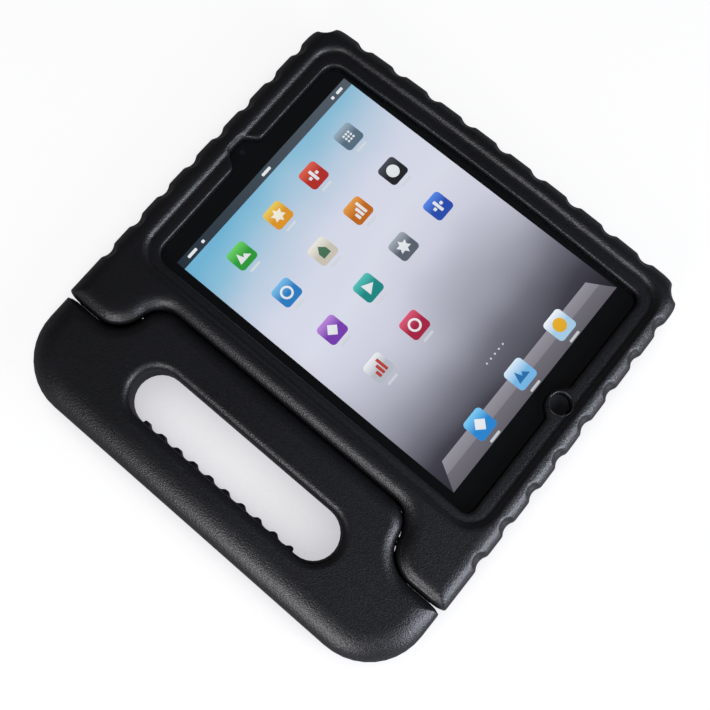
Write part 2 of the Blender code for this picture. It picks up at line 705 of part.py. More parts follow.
def access_cutter(x0, x1, y0, y1):
    """Return a bmesh of an opening through a side wall, level with the tablet's edge."""
    z0, z1 = CONTROL_Z - ACCESS_HEIGHT / 2, CONTROL_Z + ACCESS_HEIGHT / 2
    if x1 - x0 > y1 - y0:
        plan = rounded_rectangle(x0, x1, z0, z1, ACCESS_CORNER, EDGE_STEPS)
        turn = Matrix.Rotation(math.pi / 2, 4, "X")
        return placed(prism(plan, -y1, -y0), turn)
    plan = rounded_rectangle(y0, y1, z0, z1, ACCESS_CORNER, EDGE_STEPS)
    turn = Matrix(((0, 0, 1, 0), (1, 0, 0, 0), (0, 1, 0, 0), (0, 0, 0, 1)))
    return placed(prism(plan, x0, x1), turn)


def case_body(foam):
    """Return the moulded body with pocket, lip, bumper, flutes, ears and openings."""
    outline = body_outline()
    body = new_object("case_body", case_slab(outline))
    combine(body, flute_cutter(outline), "DIFFERENCE")
    combine(body, keeper_solid(body_keeper()), "INTERSECT")
    for block in relief_cutters():
        combine(body, mirrored(block), "DIFFERENCE")
    combine(body, band_cutter(), "DIFFERENCE")
    combine(body, prism(tablet_rectangle(-FIT, TABLET_CORNER_RADIUS), BACK_WALL, LIP_BOTTOM), "DIFFERENCE")
    combine(body, lip_cutter(), "DIFFERENCE")
    hole = HOME_BUTTON_RADIUS + FIT
    hole_levels = [(0.0, LIP_BOTTOM - SAFE / 2), (0.0, LIP_TOP - TAB_EDGE_ROUND),
                   (-TAB_EDGE_ROUND, LIP_TOP), (-TAB_EDGE_ROUND, CASE_THICKNESS + SAFE)]
    combine(body, lofted(bmesh.new(), circle(HOME_BUTTON_X, TABLET_Y, hole), hole_levels), "DIFFERENCE")
    camera_levels = [(-CAMERA_HOLE_FLARE, -SAFE), (-CAMERA_HOLE_FLARE, 0.0), (0.0, CAMERA_HOLE_FLARE),
                     (0.0, BACK_WALL + SAFE / 2)]
    camera = circle(REAR_CAMERA_X, REAR_CAMERA_Y, CAMERA_HOLE_RADIUS)
    combine(body, lofted(bmesh.new(), camera, camera_levels), "DIFFERENCE")
    past_end = BODY_LENGTH / 2 + SAFE
    port = access_cutter(BUTTON_END_X - SAFE / 2, past_end, TABLET_Y - PORT_ACCESS_WIDTH / 2,
                         TABLET_Y + PORT_ACCESS_WIDTH / 2)
    power = access_cutter(-past_end, CAMERA_END_X + SAFE / 2, POWER_Y - POWER_ACCESS_WIDTH / 2,
                          POWER_Y + POWER_ACCESS_WIDTH / 2)
    rocker = access_cutter(ROCKER_X - ROCKER_ACCESS_WIDTH / 2, ROCKER_X + ROCKER_ACCESS_WIDTH / 2,
                           TABLET_FAR_Y - SAFE / 2, FAR_Y + SAFE)
    combine(body, joined(port, power, rocker), "DIFFERENCE")
    room = SLEEVE_RADIUS + BARB_HEIGHT + FIT
    reach = SOCKET_INNER_X + SOCKET_LENGTH + FIT - INSERT_OUTER_X
    combine(body, bore(INSERT_OUTER_X, reach, room), "DIFFERENCE")
    return finish_solid(body, "case_body", foam)


def handle_outline():
    """Return the handle's plan outline, run on past the parting line."""
    half = HANDLE_LENGTH / 2
    top = WALL_Y + FAR_AWAY / 2
    return filleted([(-half, HANDLE_Y, HANDLE_CORNER_RADIUS), (half, HANDLE_Y, HANDLE_CORNER_RADIUS),
                     (half, top, 0), (-half, top, 0)], CORNER_STEPS + 3)


def slot_cutter():
    """Return a bmesh of the grip slot with flared rims."""
    half_run = SLOT_LENGTH / 2 - SLOT_WIDTH / 2
    outline = arc((half_run, SLOT_Y), SLOT_WIDTH / 2, -90, 90, 2 * CORNER_STEPS)
    outline += arc((-half_run, SLOT_Y), SLOT_WIDTH / 2, 90, 270, 2 * CORNER_STEPS)
    levels = flared_levels(0.0, CASE_THICKNESS, SLOT_RIM_BACK, SLOT_RIM_TOP, EDGE_STEPS)
    return lofted(bmesh.new(), outline, levels)


def finger_ridges():
    """Return a bmesh of the finger ridges, with scallops between, low on the slot's outer wall."""
    wall_y = SLOT_Y - SLOT_WIDTH / 2
    face_y = wall_y + FINGER_RIDGE_HEIGHT
    root_y = wall_y - FINGER_RIDGE_ROOT
    half_chord = (FINGER_RIDGE_PITCH - FINGER_RIDGE_WIDTH) / 2
    depth = FINGER_RIDGE_HEIGHT + FIT
    radius = (half_chord ** 2 + depth ** 2) / (2 * depth)
    open_angle = math.degrees(math.asin(half_chord / radius))
    end_x = (FINGER_RIDGES - 1) / 2 * FINGER_RIDGE_PITCH + FINGER_RIDGE_WIDTH / 2
    foot_x = end_x + FINGER_RIDGE_HEIGHT
    outline = [(-foot_x, root_y), (foot_x, root_y), (end_x, face_y)]
    for index in reversed(range(FINGER_RIDGES - 1)):
        x = (index - (FINGER_RIDGES - 2) / 2) * FINGER_RIDGE_PITCH
        outline += arc((x, face_y - depth + radius), radius, 270 + open_angle, 270 - open_angle, EDGE_STEPS)
    outline.append((-end_x, face_y))
    levels = rounded_levels(FINGER_RIDGE_BOTTOM, FINGER_RIDGE_TOP, FINGER_RIDGE_ROUND,
                            FINGER_RIDGE_ROUND, 2, 2)
    return lofted(bmesh.new(), outline, levels)


def handle(foam):
    """Return the moulded handle with tongue, grip slot and finger ridges."""
    levels = rounded_levels(0.0, CASE_THICKNESS, BACK_EDGE_RADIUS, HANDLE_SHOULDER_WIDTH, EDGE_STEPS,
                            SHOULDER_STEPS, HANDLE_SHOULDER_DROP)
    grip = new_object("handle", lofted(bmesh.new(), handle_outline(), levels))
    combine(grip, keeper_solid(handle_keeper()), "INTERSECT")
    combine(grip, slot_cutter(), "DIFFERENCE")
    combine(grip, finger_ridges(), "UNION")
    behind = WALL_Y + SAFE
    box = [(-EAR_FLAT_X, AXIS_Y), (EAR_FLAT_X, AXIS_Y), (EAR_FLAT_X, behind), (-EAR_FLAT_X, behind)]
    under = new_object("under", prism(box, -SAFE, AXIS_Z))
    combine(under, tongue_barrel(), "DIFFERENCE")
    combine(grip, mesh_of(under), "DIFFERENCE")
    start = INSERT_OUTER_X - INSERT_LENGTH - FIT
    room = SLEEVE_RADIUS + BARB_HEIGHT + FIT
    combine(grip, bore(start, SOCKET_INNER_X - start, room), "DIFFERENCE")
    return on_pivot(finish_solid(grip, "handle", foam), (0.0, AXIS_Y, AXIS_Z))


def barbed_sleeve(name, inner_x, length, side, plastic):
    """Return a sleeve with three barbs on the hinge axis, bored for the pin."""
    profile = [(0.0, SLEEVE_RADIUS)]
    for index in range(SLEEVE_BARBS):
        start = length / 2 + (index - (SLEEVE_BARBS - 1) / 2) * BARB_PITCH
        crest = start + BARB_PITCH / 4
        profile += [(start - BARB_PITCH / 4, SLEEVE_RADIUS), (crest, SLEEVE_RADIUS + BARB_HEIGHT),
                    (crest + FIT / 3, SLEEVE_RADIUS)]
    profile.append((length, SLEEVE_RADIUS))
    sleeve = new_object(name, turned(profile, FINE_SPIN_STEPS))
    hole_radius = PIN_RADIUS + PIN_FIT
    hole = turned([(-SAFE, hole_radius), (length + SAFE, hole_radius)], FINE_SPIN_STEPS)
    combine(sleeve, hole, "DIFFERENCE")
    finish_solid(sleeve, name, plastic)
    return on_axis(sleeve, inner_x, side)


def on_axis(target, inner_x, side):
    """Put a shape turned round X onto the hinge axis, on the side given by its sign."""
    matrix = Matrix.Scale(side, 4, (1, 0, 0)) @ axis_frame(inner_x)
    target.data.transform(matrix)
    if side < 0:
        target.data.flip_normals()
    return target


def hinge_parts(steel, plastic):
    """Make pin, ear socket and tongue insert on both sides, each a mirrored pair."""
    blunt = PIN_RADIUS - PIN_CHAMFER
    profile = [(0.0, blunt), (PIN_CHAMFER, PIN_RADIUS), (PIN_LENGTH - PIN_CHAMFER, PIN_RADIUS),
               (PIN_LENGTH, blunt)]
    for side, word in ((-1, "left"), (1, "right")):
        pin = new_object("hinge_pin_" + word, turned(profile, FINE_SPIN_STEPS), steel)
        on_axis(pin, PIN_INNER_X, side)
        barbed_sleeve("hinge_socket_" + word, SOCKET_INNER_X, SOCKET_LENGTH, side, plastic)
        insert_x = INSERT_OUTER_X - INSERT_LENGTH
        insert = barbed_sleeve("hinge_insert_" + word, insert_x, INSERT_LENGTH, side, plastic)
        on_pivot(insert, (side * (insert_x + INSERT_LENGTH / 2), AXIS_Y, AXIS_Z))


def turned_upright(profile, x, y, z, steps=28):
    """Return a bmesh of (height, radius) points spun round a vertical axis at x, y from height z."""
    stand = Matrix.Translation((x, y, z)) @ Matrix.Rotation(-math.pi / 2, 4, "Y")
    return placed(turned(profile, steps), stand)


def tablet_rectangle(shrink, radius):
    """Return the tablet's outline set in by shrink."""
    half_length, half_width = TABLET_LENGTH / 2 - shrink, TABLET_WIDTH / 2 - shrink
    return rounded_rectangle(TABLET_X - half_length, TABLET_X + half_length,
                             TABLET_Y - half_width, TABLET_Y + half_width, radius)


def wall_slot(x0, x1, y0, y1, z, height):
    """Return a bmesh of a square slot through the rear shell's wall, level at its mid height z."""
    plan = [(x0, y0), (x1, y0), (x1, y1), (x0, y1)]
    return prism(plan, z - height / 2, z + height / 2)


def rear_shell(aluminium):
    """Return the tablet's tray-shaped rear shell with its holes."""
    levels = rounded_levels(TABLET_BOTTOM, SHELL_TOP, TABLET_BACK_ROUND, 0.0, EDGE_STEPS, 1)
    levels = levels[:EDGE_STEPS + 1] + [(0.0, SHELL_TOP)]
    outline = tablet_rectangle(0.0, TABLET_CORNER_RADIUS)
    shell = new_object("tablet_rear_shell", lofted(bmesh.new(), outline, levels))
    cavity = tablet_rectangle(SHELL_RIM, TABLET_CORNER_RADIUS - SHELL_RIM)
    combine(shell, prism(cavity, CAVITY_FLOOR, SHELL_TOP + SAFE), "DIFFERENCE")
    slot_height = CONTROL_HEIGHT + 2 * FIT
    through = SHELL_RIM + OVERRUN
    half = POWER_BUTTON_WIDTH / 2 + FIT
    power = wall_slot(CAMERA_END_X - SAFE, CAMERA_END_X + through, POWER_Y - half, POWER_Y + half,
                      CONTROL_Z, slot_height)
    half = ROCKER_LENGTH / 2 + FIT
    rocker = wall_slot(ROCKER_X - half, ROCKER_X + half, TABLET_FAR_Y - through, TABLET_FAR_Y + SAFE,
                       CONTROL_Z, slot_height)
    half = PORT_WIDTH / 2 + FIT
    port = wall_slot(BUTTON_END_X - through, BUTTON_END_X + SAFE, TABLET_Y - half, TABLET_Y + half,
                     INSIDE_FLOOR + CONNECTOR_THICKNESS / 2, PORT_HEIGHT)
    lens = circle(REAR_CAMERA_X, REAR_CAMERA_Y, LENS_RADIUS + FIT)
    lens = prism(lens, TABLET_BOTTOM - SAFE, CAVITY_FLOOR + OVERRUN)
    combine(shell, joined(power, rocker, port, lens), "DIFFERENCE")
    return finish_solid(shell, "tablet_rear_shell", aluminium)


def front_glass(glass):
    """Return the cover glass with the hole for the home button."""
    outline = tablet_rectangle(0.0, TABLET_CORNER_RADIUS)
    pane = new_object("tablet_front_glass", prism(outline, GLASS_BOTTOM, TABLET_TOP))
    hole = circle(HOME_BUTTON_X, TABLET_Y, HOME_BUTTON_RADIUS + FIT)
    combine(pane, prism(hole, GLASS_BOTTOM - SAFE, TABLET_TOP + SAFE), "DIFFERENCE")
    return finish_solid(pane, "tablet_front_glass", glass)


def block(x, y, z, size, corner):
    """Return a bmesh of a flat block with round corners, centred at x, y with its underside at z."""
    length, width, thickness = size
    plan = rounded_rectangle(x - length / 2, x + length / 2, y - width / 2, y + width / 2, corner, 3)
    return prism(plan, z, z + thickness)


def display_and_cells(finishes):
    """Make the display panel and the row of battery cells."""
    size = (DISPLAY_LENGTH + 2 * PANEL_BORDER, DISPLAY_WIDTH + 2 * PANEL_BORDER, PANEL_THICKNESS)
    bottom = GLASS_BOTTOM - FIT - PANEL_THICKNESS
    panel = block(TABLET_X, TABLET_Y, bottom, size, PANEL_BORDER / 2)
    new_object("display_panel", panel, finishes["panel"])
    size = (BATTERY_LENGTH, BATTERY_WIDTH, BATTERY_THICKNESS)
    for index in range(BATTERY_CELLS):
        x = TABLET_X + BATTERY_SHIFT_X + (index - (BATTERY_CELLS - 1) / 2) * BATTERY_PITCH
        cell = block(x, TABLET_Y, INSIDE_FLOOR, size, SHELL_RIM)
        new_object("battery_cell_%d" % (index + 1), cell, finishes["battery"])


def logic_board(finish):
    """Return the board along the camera end, with its row of chips."""
    x = CAMERA_END_X + BOARD_TO_EDGE
    board = new_object("logic_board", block(x, TABLET_Y, INSIDE_FLOOR,
                                            (BOARD_LENGTH, BOARD_WIDTH, BOARD_THICKNESS), SHELL_RIM))
    chips = []
    for row in range(BOARD_CHIPS):
        y = TABLET_Y + (row - (BOARD_CHIPS - 1) / 2) * BOARD_CHIP_PITCH
        size = (BOARD_CHIP_LENGTH, BOARD_CHIP_WIDTH, BOARD_THICKNESS / 2 + BOARD_CHIP_HEIGHT)
        chips.append(block(x, y, INSIDE_FLOOR + BOARD_THICKNESS / 2, size, BOARD_CHIP_CORNER))
    combine(board, joined(*chips), "UNION")
    return finish_solid(board, "logic_board", finish)


def cameras(finish):
    """Make the rear camera, whose lens looks through the shell, and the front camera under the glass."""
    lens = INSIDE_FLOOR - TABLET_BOTTOM
    profile = [(0.0, LENS_RADIUS), (lens, LENS_RADIUS), (lens, REAR_CAMERA_RADIUS),
               (lens + REAR_CAMERA_HEIGHT, REAR_CAMERA_RADIUS)]
    rear = turned_upright(profile, REAR_CAMERA_X, REAR_CAMERA_Y, TABLET_BOTTOM)
    new_object("rear_camera", rear, finish)
    tall = GLASS_BOTTOM - FIT - INSIDE_FLOOR
    profile = [(0.0, FRONT_CAMERA_RADIUS), (tall, FRONT_CAMERA_RADIUS)]
    x = CAMERA_END_X + FRONT_CAMERA_TO_END
    front = turned_upright(profile, x, TABLET_Y, INSIDE_FLOOR, FINE_SPIN_STEPS)
    new_object("front_camera", front, finish)


def button_end_parts(finishes):
    """Make the speaker, the dock connector and the home button's switch."""
    x = BUTTON_END_X - SHELL_RIM - FIT - OVERRUN - SPEAKER_LENGTH / 2
    speaker = block(x, TABLET_Y + SPEAKER_SHIFT_Y, INSIDE_FLOOR,
                    (SPEAKER_LENGTH, SPEAKER_WIDTH, SPEAKER_THICKNESS), SHELL_RIM)
    new_object("speaker", speaker, finishes["black"])
    mouth_x = BUTTON_END_X - SHELL_RIM - FIT
    shape = block(mouth_x - CONNECTOR_LENGTH / 2, TABLET_Y, INSIDE_FLOOR,
                  (CONNECTOR_LENGTH, CONNECTOR_WIDTH, CONNECTOR_THICKNESS), SHELL_FLOOR / 2)
    connector = new_object("dock_connector", shape)
    port = wall_slot(mouth_x - PORT_DEPTH, mouth_x + SAFE, TABLET_Y - PORT_WIDTH / 2,
                     TABLET_Y + PORT_WIDTH / 2, INSIDE_FLOOR + CONNECTOR_THICKNESS / 2, PORT_HEIGHT - 2 * FIT)
    combine(connector, port, "DIFFERENCE")
    finish_solid(connector, "dock_connector", finishes["black"])
    profile = [(0.0, SWITCH_RADIUS), (SWITCH_THICKNESS - SWITCH_DOME_HEIGHT, SWITCH_RADIUS),
               (SWITCH_THICKNESS, SWITCH_DOME_RADIUS)]
    z = INSIDE_FLOOR + CONNECTOR_THICKNESS + FIT
    switch = turned_upright(profile, HOME_BUTTON_X, TABLET_Y, z, FINE_SPIN_STEPS)
    new_object("home_button_switch", switch, finishes["steel"])


def home_button(gloss):
    """Return the tablet's dished home button, with its origin on the axis it is pressed along."""
    top = HOME_BUTTON_THICKNESS
    bottom = TABLET_TOP - HOME_BUTTON_SINK - top
    profile = [(0.0, HOME_BUTTON_RADIUS), (top, HOME_BUTTON_RADIUS),
               (top - HOME_BUTTON_SINK, HOME_BUTTON_RADIUS / 2)]
    button = new_object("home_button", turned_upright(profile, HOME_BUTTON_X, TABLET_Y, bottom), gloss)
    return on_pivot(button, (HOME_BUTTON_X, TABLET_Y, bottom))


def side_control(name, width, finish):
    """Return a control that faces +X, with its origin in the middle of the flange behind its key."""
    half_z = CONTROL_HEIGHT / 2
    key = rounded_rectangle(-width / 2, width / 2, -half_z, half_z, CONTROL_HEIGHT / 3, 3)
    turn = Matrix(((0, 0, 1, 0), (1, 0, 0, 0), (0, 1, 0, 0), (0, 0, 0, 1)))
    control = new_object(name, placed(prism(key, 0.0, CONTROL_DEPTH + CONTROL_PROUD), turn))
    half, tall = width / 2 + CONTROL_FLANGE_LIP, half_z + CONTROL_FLANGE_LIP
    flange = rounded_rectangle(-half, half, -tall, tall, CONTROL_FLANGE_LIP, 2)
    plate = placed(prism(flange, -CONTROL_FLANGE / 2, CONTROL_FLANGE / 2), turn)
    combine(control, plate, "UNION")
    return finish_solid(control, name, finish)


def tablet_controls(aluminium):
    """Make the power button at the camera end and the volume rocker on the far side."""
    power = side_control("power_button", POWER_BUTTON_WIDTH, aluminium)
    place = Matrix.Translation((CAMERA_END_X + CONTROL_DEPTH, POWER_Y, CONTROL_Z))
    power.matrix_world = place @ Matrix.Rotation(math.pi, 4, "Z")
    rocker = side_control("volume_rocker", ROCKER_LENGTH, aluminium)
    place = Matrix.Translation((ROCKER_X, TABLET_FAR_Y - CONTROL_DEPTH, CONTROL_Z))
    rocker.matrix_world = place @ Matrix.Rotation(math.pi / 2, 4, "Z")


def main():
    """Build every piece of the case and the tablet."""
    clear_scene()
    finishes = {
        "foam": material("black_foam", (0.012, 0.012, 0.014), 0.62),
        "steel": material("steel", (0.55, 0.56, 0.58), 0.3, 1.0),
        "plastic": material("nylon", (0.02, 0.02, 0.02), 0.5),
        "aluminium": material("anodised_aluminium", (0.6, 0.61, 0.63), 0.35, 1.0),
        "glass": material("black_glass", (0.004, 0.004, 0.005), 0.06),
        "panel": material("display", (0.35, 0.42, 0.5), 0.3),
        "battery": material("battery_foil", (0.05, 0.05, 0.055), 0.45),
        "board": material("circuit_board", (0.01, 0.06, 0.03), 0.5),
        "camera": material("camera_module", (0.01, 0.01, 0.012), 0.2),
        "black": material("black_plastic", (0.015, 0.015, 0.015), 0.5),
    }
    case_body(finishes["foam"])
    handle(finishes["foam"])
    hinge_parts(finishes["steel"], finishes["plastic"])
    rear_shell(finishes["aluminium"])
    front_glass(finishes["glass"])
    display_and_cells(finishes)
    logic_board(finishes["board"])
    cameras(finishes["camera"])
    button_end_parts(finishes)
    home_button(finishes["glass"])
    tablet_controls(finishes["aluminium"])


main()
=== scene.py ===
"""Looks of the moulded foam tablet case with its hinged handle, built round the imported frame.

Each sub-assembly of the case and the tablet is a class that builds its meshes and dresses them, and each
finish is a frozen dataclass named for the real material and how it was made. Lengths are in metres.
"""

import logging
import math
from dataclasses import dataclass
from enum import Enum
from typing import Dict, List, Optional, Sequence, Tuple

import bmesh
import bpy
from mathutils import Matrix, Vector


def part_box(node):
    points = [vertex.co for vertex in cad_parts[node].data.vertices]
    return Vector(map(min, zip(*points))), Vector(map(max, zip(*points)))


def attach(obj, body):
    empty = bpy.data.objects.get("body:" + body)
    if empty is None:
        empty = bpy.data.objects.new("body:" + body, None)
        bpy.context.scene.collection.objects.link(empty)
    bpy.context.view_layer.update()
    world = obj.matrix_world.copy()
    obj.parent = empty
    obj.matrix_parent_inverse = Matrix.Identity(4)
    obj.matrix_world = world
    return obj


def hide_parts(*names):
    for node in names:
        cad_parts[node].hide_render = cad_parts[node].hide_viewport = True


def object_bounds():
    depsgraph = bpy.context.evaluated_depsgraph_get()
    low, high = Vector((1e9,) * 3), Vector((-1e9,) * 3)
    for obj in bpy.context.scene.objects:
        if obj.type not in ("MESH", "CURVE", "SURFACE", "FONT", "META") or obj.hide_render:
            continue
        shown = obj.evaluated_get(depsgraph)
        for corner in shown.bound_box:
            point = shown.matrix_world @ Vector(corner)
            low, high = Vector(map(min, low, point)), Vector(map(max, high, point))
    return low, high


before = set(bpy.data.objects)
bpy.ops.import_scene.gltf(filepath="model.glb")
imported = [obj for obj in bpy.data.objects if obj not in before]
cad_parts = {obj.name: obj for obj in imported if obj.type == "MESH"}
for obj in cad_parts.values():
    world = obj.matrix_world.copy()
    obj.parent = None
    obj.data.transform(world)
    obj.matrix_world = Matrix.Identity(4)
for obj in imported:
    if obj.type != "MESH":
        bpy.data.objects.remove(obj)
CAD_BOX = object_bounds()

LOG = logging.getLogger("tablet_case")
MM = 0.001
GLASS_IOR = 1.5
ICON_SIZE = 13.6 * MM
LAYER = 0.02 * MM
PALE_MARK = "#f2f5f7"
STRONG_FACE = 16384  # Blender's own value for a strong face in the layer that weighted normals read
Point = Tuple[float, float]
Span = Tuple[float, float]
Place = Tuple[float, float, float]
Colour = Tuple[float, float, float, float]


class Body(Enum):
    """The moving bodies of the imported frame."""

    CASE = "case"
    HANDLE = "handle"


class Motif(Enum):
    """The plain shapes that stand on the icon tiles."""

    RING = "ring"
    DISC = "disc"
    BARS = "bars"
    TRIANGLE = "triangle"
    DIAMOND = "diamond"
    PLUS = "plus"
    DOTS = "dots"
    STAR = "star"
    HOUSE = "house"
    HILLS = "hills"


def linear(code: str) -> Colour:
    """Turn an sRGB hex code into linear colour.

    Args:
        code: Six hex digits, with or without a leading hash.

    Returns:
        Linear red, green, blue and an alpha of one.
    """
    digits = code.lstrip("#")
    values = [int(digits[start:start + 2], 16) / 255 for start in (0, 2, 4)]
    return (*[v / 12.92 if v <= 0.04045 else ((v + 0.055) / 1.055) ** 2.4 for v in values], 1.0)


def add_node(tree: bpy.types.NodeTree, kind: str, values: Optional[Dict[object, object]] = None,
             **options: object) -> bpy.types.Node:
    """Add a node with its settings and links.

    Args:
        tree: The node tree that takes the node.
        kind: Blender's type name of the node.
        values: Socket name or number to a plain value, or to the socket that feeds it.
        **options: Properties of the node itself.

    Returns:
        The new node.
    """
    node = tree.nodes.new(kind)
    for name, value in options.items():
        setattr(node, name, value)
    for name, value in (values or {}).items():
        if isinstance(value, bpy.types.NodeSocket):
            tree.links.new(value, node.inputs[name])
        else:
            node.inputs[name].default_value = value
    return node


def ramp(tree: bpy.types.NodeTree, factor: bpy.types.NodeSocket,
         stops: Sequence[Tuple[float, Colour]]) -> bpy.types.NodeSocket:
    """Add a colour ramp with its stops.

    Args:
        tree: The node tree that takes the ramp.
        factor: The socket that drives it.
        stops: Positions with their linear colours, in order.

    Returns:
        The ramp's colour socket.
    """
    node = add_node(tree, "ShaderNodeValToRGB", values={"Fac": factor})
    elements = node.color_ramp.elements
    ready = len(elements)
    for place, (position, colour) in enumerate(stops):
        element = elements[place] if place < ready else elements.new(position)
        element.position = position
        element.color = colour
    return node.outputs["Color"]


def spread(tree: bpy.types.NodeTree, value: bpy.types.NodeSocket, source: Span,
           target: Span) -> bpy.types.NodeSocket:
    """Map one range of values onto another, held at its ends.

    Args:
        tree: The node tree that takes the node.
        value: The socket that is mapped.
        source: Its range.
        target: The range that it is mapped to.

    Returns:
        The mapped value.
    """
    node = add_node(tree, "ShaderNodeMapRange",
                    values={"Value": value, "From Min": source[0], "From Max": source[1],
                            "To Min": target[0], "To Max": target[1]})
    return node.outputs["Result"]


def calculate(tree: bpy.types.NodeTree, operation: str, *terms: object,
              use_clamp: bool = False) -> bpy.types.NodeSocket:
    """Add a math node.

    Args:
        tree: The node tree that takes the node.
        operation: Blender's name of the operation.
        *terms: Its terms, each a plain value or a socket.
        use_clamp: Whether the result stays between zero and one.

    Returns:
        The result.
    """
    node = add_node(tree, "ShaderNodeMath", values=dict(enumerate(terms)), operation=operation,
                    use_clamp=use_clamp)
    return node.outputs[0]


def blank(name: str) -> Tuple[bpy.types.Material, bpy.types.NodeTree, bpy.types.Node, bpy.types.NodeSocket]:
    """Make a material that holds only a Principled shader.

    Args:
        name: The material's name.

    Returns:
        The material, its tree, its shader and the Object coordinate socket.
    """
    made = bpy.data.materials.new(name)
    made.use_nodes = True
    tree = made.node_tree
    shader = tree.nodes["Principled BSDF"]
    place = add_node(tree, "ShaderNodeTexCoord")
    return made, tree, shader, place.outputs["Object"]


@dataclass(frozen=True)
class EvaFoam:
    """Compression-moulded EVA foam: a matt black closed-cell skin with a fine pebble from the mould.

    The skin gives the eye broad, soft highlights on the shoulders that break up into fine speckle.
    The real pebble is taken as about 0.5 mm. It is drawn at 0.68 mm, so that it shows in the render.
    """

    name: str = "eva_foam_compression_moulded"
    dark: str = "#0a0a0c"
    light: str = "#141417"
    pebble: float = 0.68 * MM
    cloud: float = 45.0 * MM
    relief: float = 0.18 * MM
    cell_share: float = 0.8
    cloud_share: float = 0.5
    bump: float = 0.8
    roughness: Span = (0.33, 0.48)
    gloss: float = 0.34

    def build(self) -> bpy.types.Material:
        """Return the foam's material."""
        made, tree, shader, place = blank(self.name)
        pebble = add_node(tree, "ShaderNodeTexNoise",
                          values={"Vector": place, "Scale": 1 / self.pebble, "Detail": 3.0,
                                  "Roughness": 0.6}).outputs["Fac"]
        cells = add_node(tree, "ShaderNodeTexVoronoi", feature="SMOOTH_F1",
                         values={"Vector": place, "Scale": 0.7 / self.pebble,
                                 "Smoothness": 0.4}).outputs["Distance"]
        cloud = add_node(tree, "ShaderNodeTexNoise",
                         values={"Vector": place, "Scale": 1 / self.cloud, "Detail": 2.0}).outputs["Fac"]
        height = calculate(tree, "MULTIPLY_ADD", cells, self.cell_share, pebble)
        tint = calculate(tree, "MULTIPLY_ADD", cloud, self.cloud_share, pebble)
        colour = ramp(tree, tint, [(0.5, linear(self.dark)), (0.95, linear(self.light))])
        rough = spread(tree, pebble, (0.35, 0.65), self.roughness)
        bump = add_node(tree, "ShaderNodeBump",
                        values={"Height": height, "Distance": self.relief, "Strength": self.bump})
        tree.links.new(colour, shader.inputs["Base Color"])
        tree.links.new(rough, shader.inputs["Roughness"])
        tree.links.new(bump.outputs["Normal"], shader.inputs["Normal"])
        shader.inputs["Specular IOR Level"].default_value = self.gloss
        return made


@dataclass(frozen=True)
class CoverGlass:
    """Float glass with a black ink border printed behind it: a deep black mirror with a faint wiping haze."""

    name: str = "cover_glass_black_printed"
    ink: str = "#050608"
    film: str = "#08090b"
    haze: float = 30.0 * MM
    roughness: Span = (0.03, 0.09)

    def build(self) -> bpy.types.Material:
        """Return the glass's material."""
        made, tree, shader, place = blank(self.name)
        wipe = add_node(tree, "ShaderNodeTexNoise",
                        values={"Vector": place, "Scale": 1 / self.haze, "Detail": 5.0}).outputs["Fac"]
        rough = spread(tree, wipe, (0.3, 0.7), self.roughness)
        colour = ramp(tree, wipe, [(0.3, linear(self.ink)), (0.8, linear(self.film))])
        tree.links.new(colour, shader.inputs["Base Color"])
        tree.links.new(rough, shader.inputs["Roughness"])
        shader.inputs["IOR"].default_value = GLASS_IOR
        return made


@dataclass(frozen=True)
class LitPicture:
    """A lit display behind glass: colours that glow a little under the glass's own gloss.

    The tones run from start to end. The drift says how far the noise moves them along that way.
    """

    name: str
    tones: Tuple[Tuple[float, str], ...]
    start: Point
    end: Point
    drift: float = 0.0
    drift_size: float = 40.0 * MM
    glow: float = 0.72
    scatter: float = 0.2
    roughness: float = 0.12

    def build(self) -> bpy.types.Material:
        """Return the material, with its tones spread from start to end over Object coordinates."""
        made, tree, shader, place = blank(self.name)
        run = Vector(self.end) - Vector(self.start)
        turn = math.atan2(run.y, run.x)
        lined = add_node(tree, "ShaderNodeMapping", vector_type="TEXTURE",
                         values={"Vector": place, "Location": (*self.start, 0.0),
                                 "Rotation": (0.0, 0.0, turn), "Scale": [run.length] * 3})
        parts = add_node(tree, "ShaderNodeSeparateXYZ", values={"Vector": lined.outputs["Vector"]})
        wave = add_node(tree, "ShaderNodeTexNoise",
                        values={"Vector": place, "Scale": 1 / self.drift_size, "Detail": 1.0})
        swell = calculate(tree, "SUBTRACT", wave.outputs["Fac"], 0.5)
        factor = calculate(tree, "MULTIPLY_ADD", swell, self.drift / run.length, parts.outputs["X"])
        colour = ramp(tree, factor, [(stop, linear(code)) for stop, code in self.tones])
        dim = add_node(tree, "ShaderNodeVectorMath", operation="SCALE",
                       values={0: colour, "Scale": self.scatter})
        tree.links.new(dim.outputs["Vector"], shader.inputs["Base Color"])
        tree.links.new(colour, shader.inputs["Emission Color"])
        shader.inputs["Emission Strength"].default_value = self.glow
        shader.inputs["Roughness"].default_value = self.roughness
        shader.inputs["IOR"].default_value = GLASS_IOR
        return made


@dataclass(frozen=True)
class MouldedPlastic:
    """Injection-moulded nylon or polycarbonate: an even skin with a fine spark-eroded texture."""

    name: str
    dark: str
    light: str
    roughness: float
    grain: float = 0.4 * MM
    relief: float = 0.01 * MM
    bump: float = 0.5

    def build(self) -> bpy.types.Material:
        """Return the plastic's material."""
        made, tree, shader, place = blank(self.name)
        grain = add_node(tree, "ShaderNodeTexNoise",
                         values={"Vector": place, "Scale": 1 / self.grain, "Detail": 2.0}).outputs["Fac"]
        colour = ramp(tree, grain, [(0.35, linear(self.dark)), (0.65, linear(self.light))])
        bump = add_node(tree, "ShaderNodeBump",
                        values={"Height": grain, "Distance": self.relief, "Strength": self.bump})
        tree.links.new(colour, shader.inputs["Base Color"])
        tree.links.new(bump.outputs["Normal"], shader.inputs["Normal"])
        shader.inputs["Roughness"].default_value = self.roughness
        return made


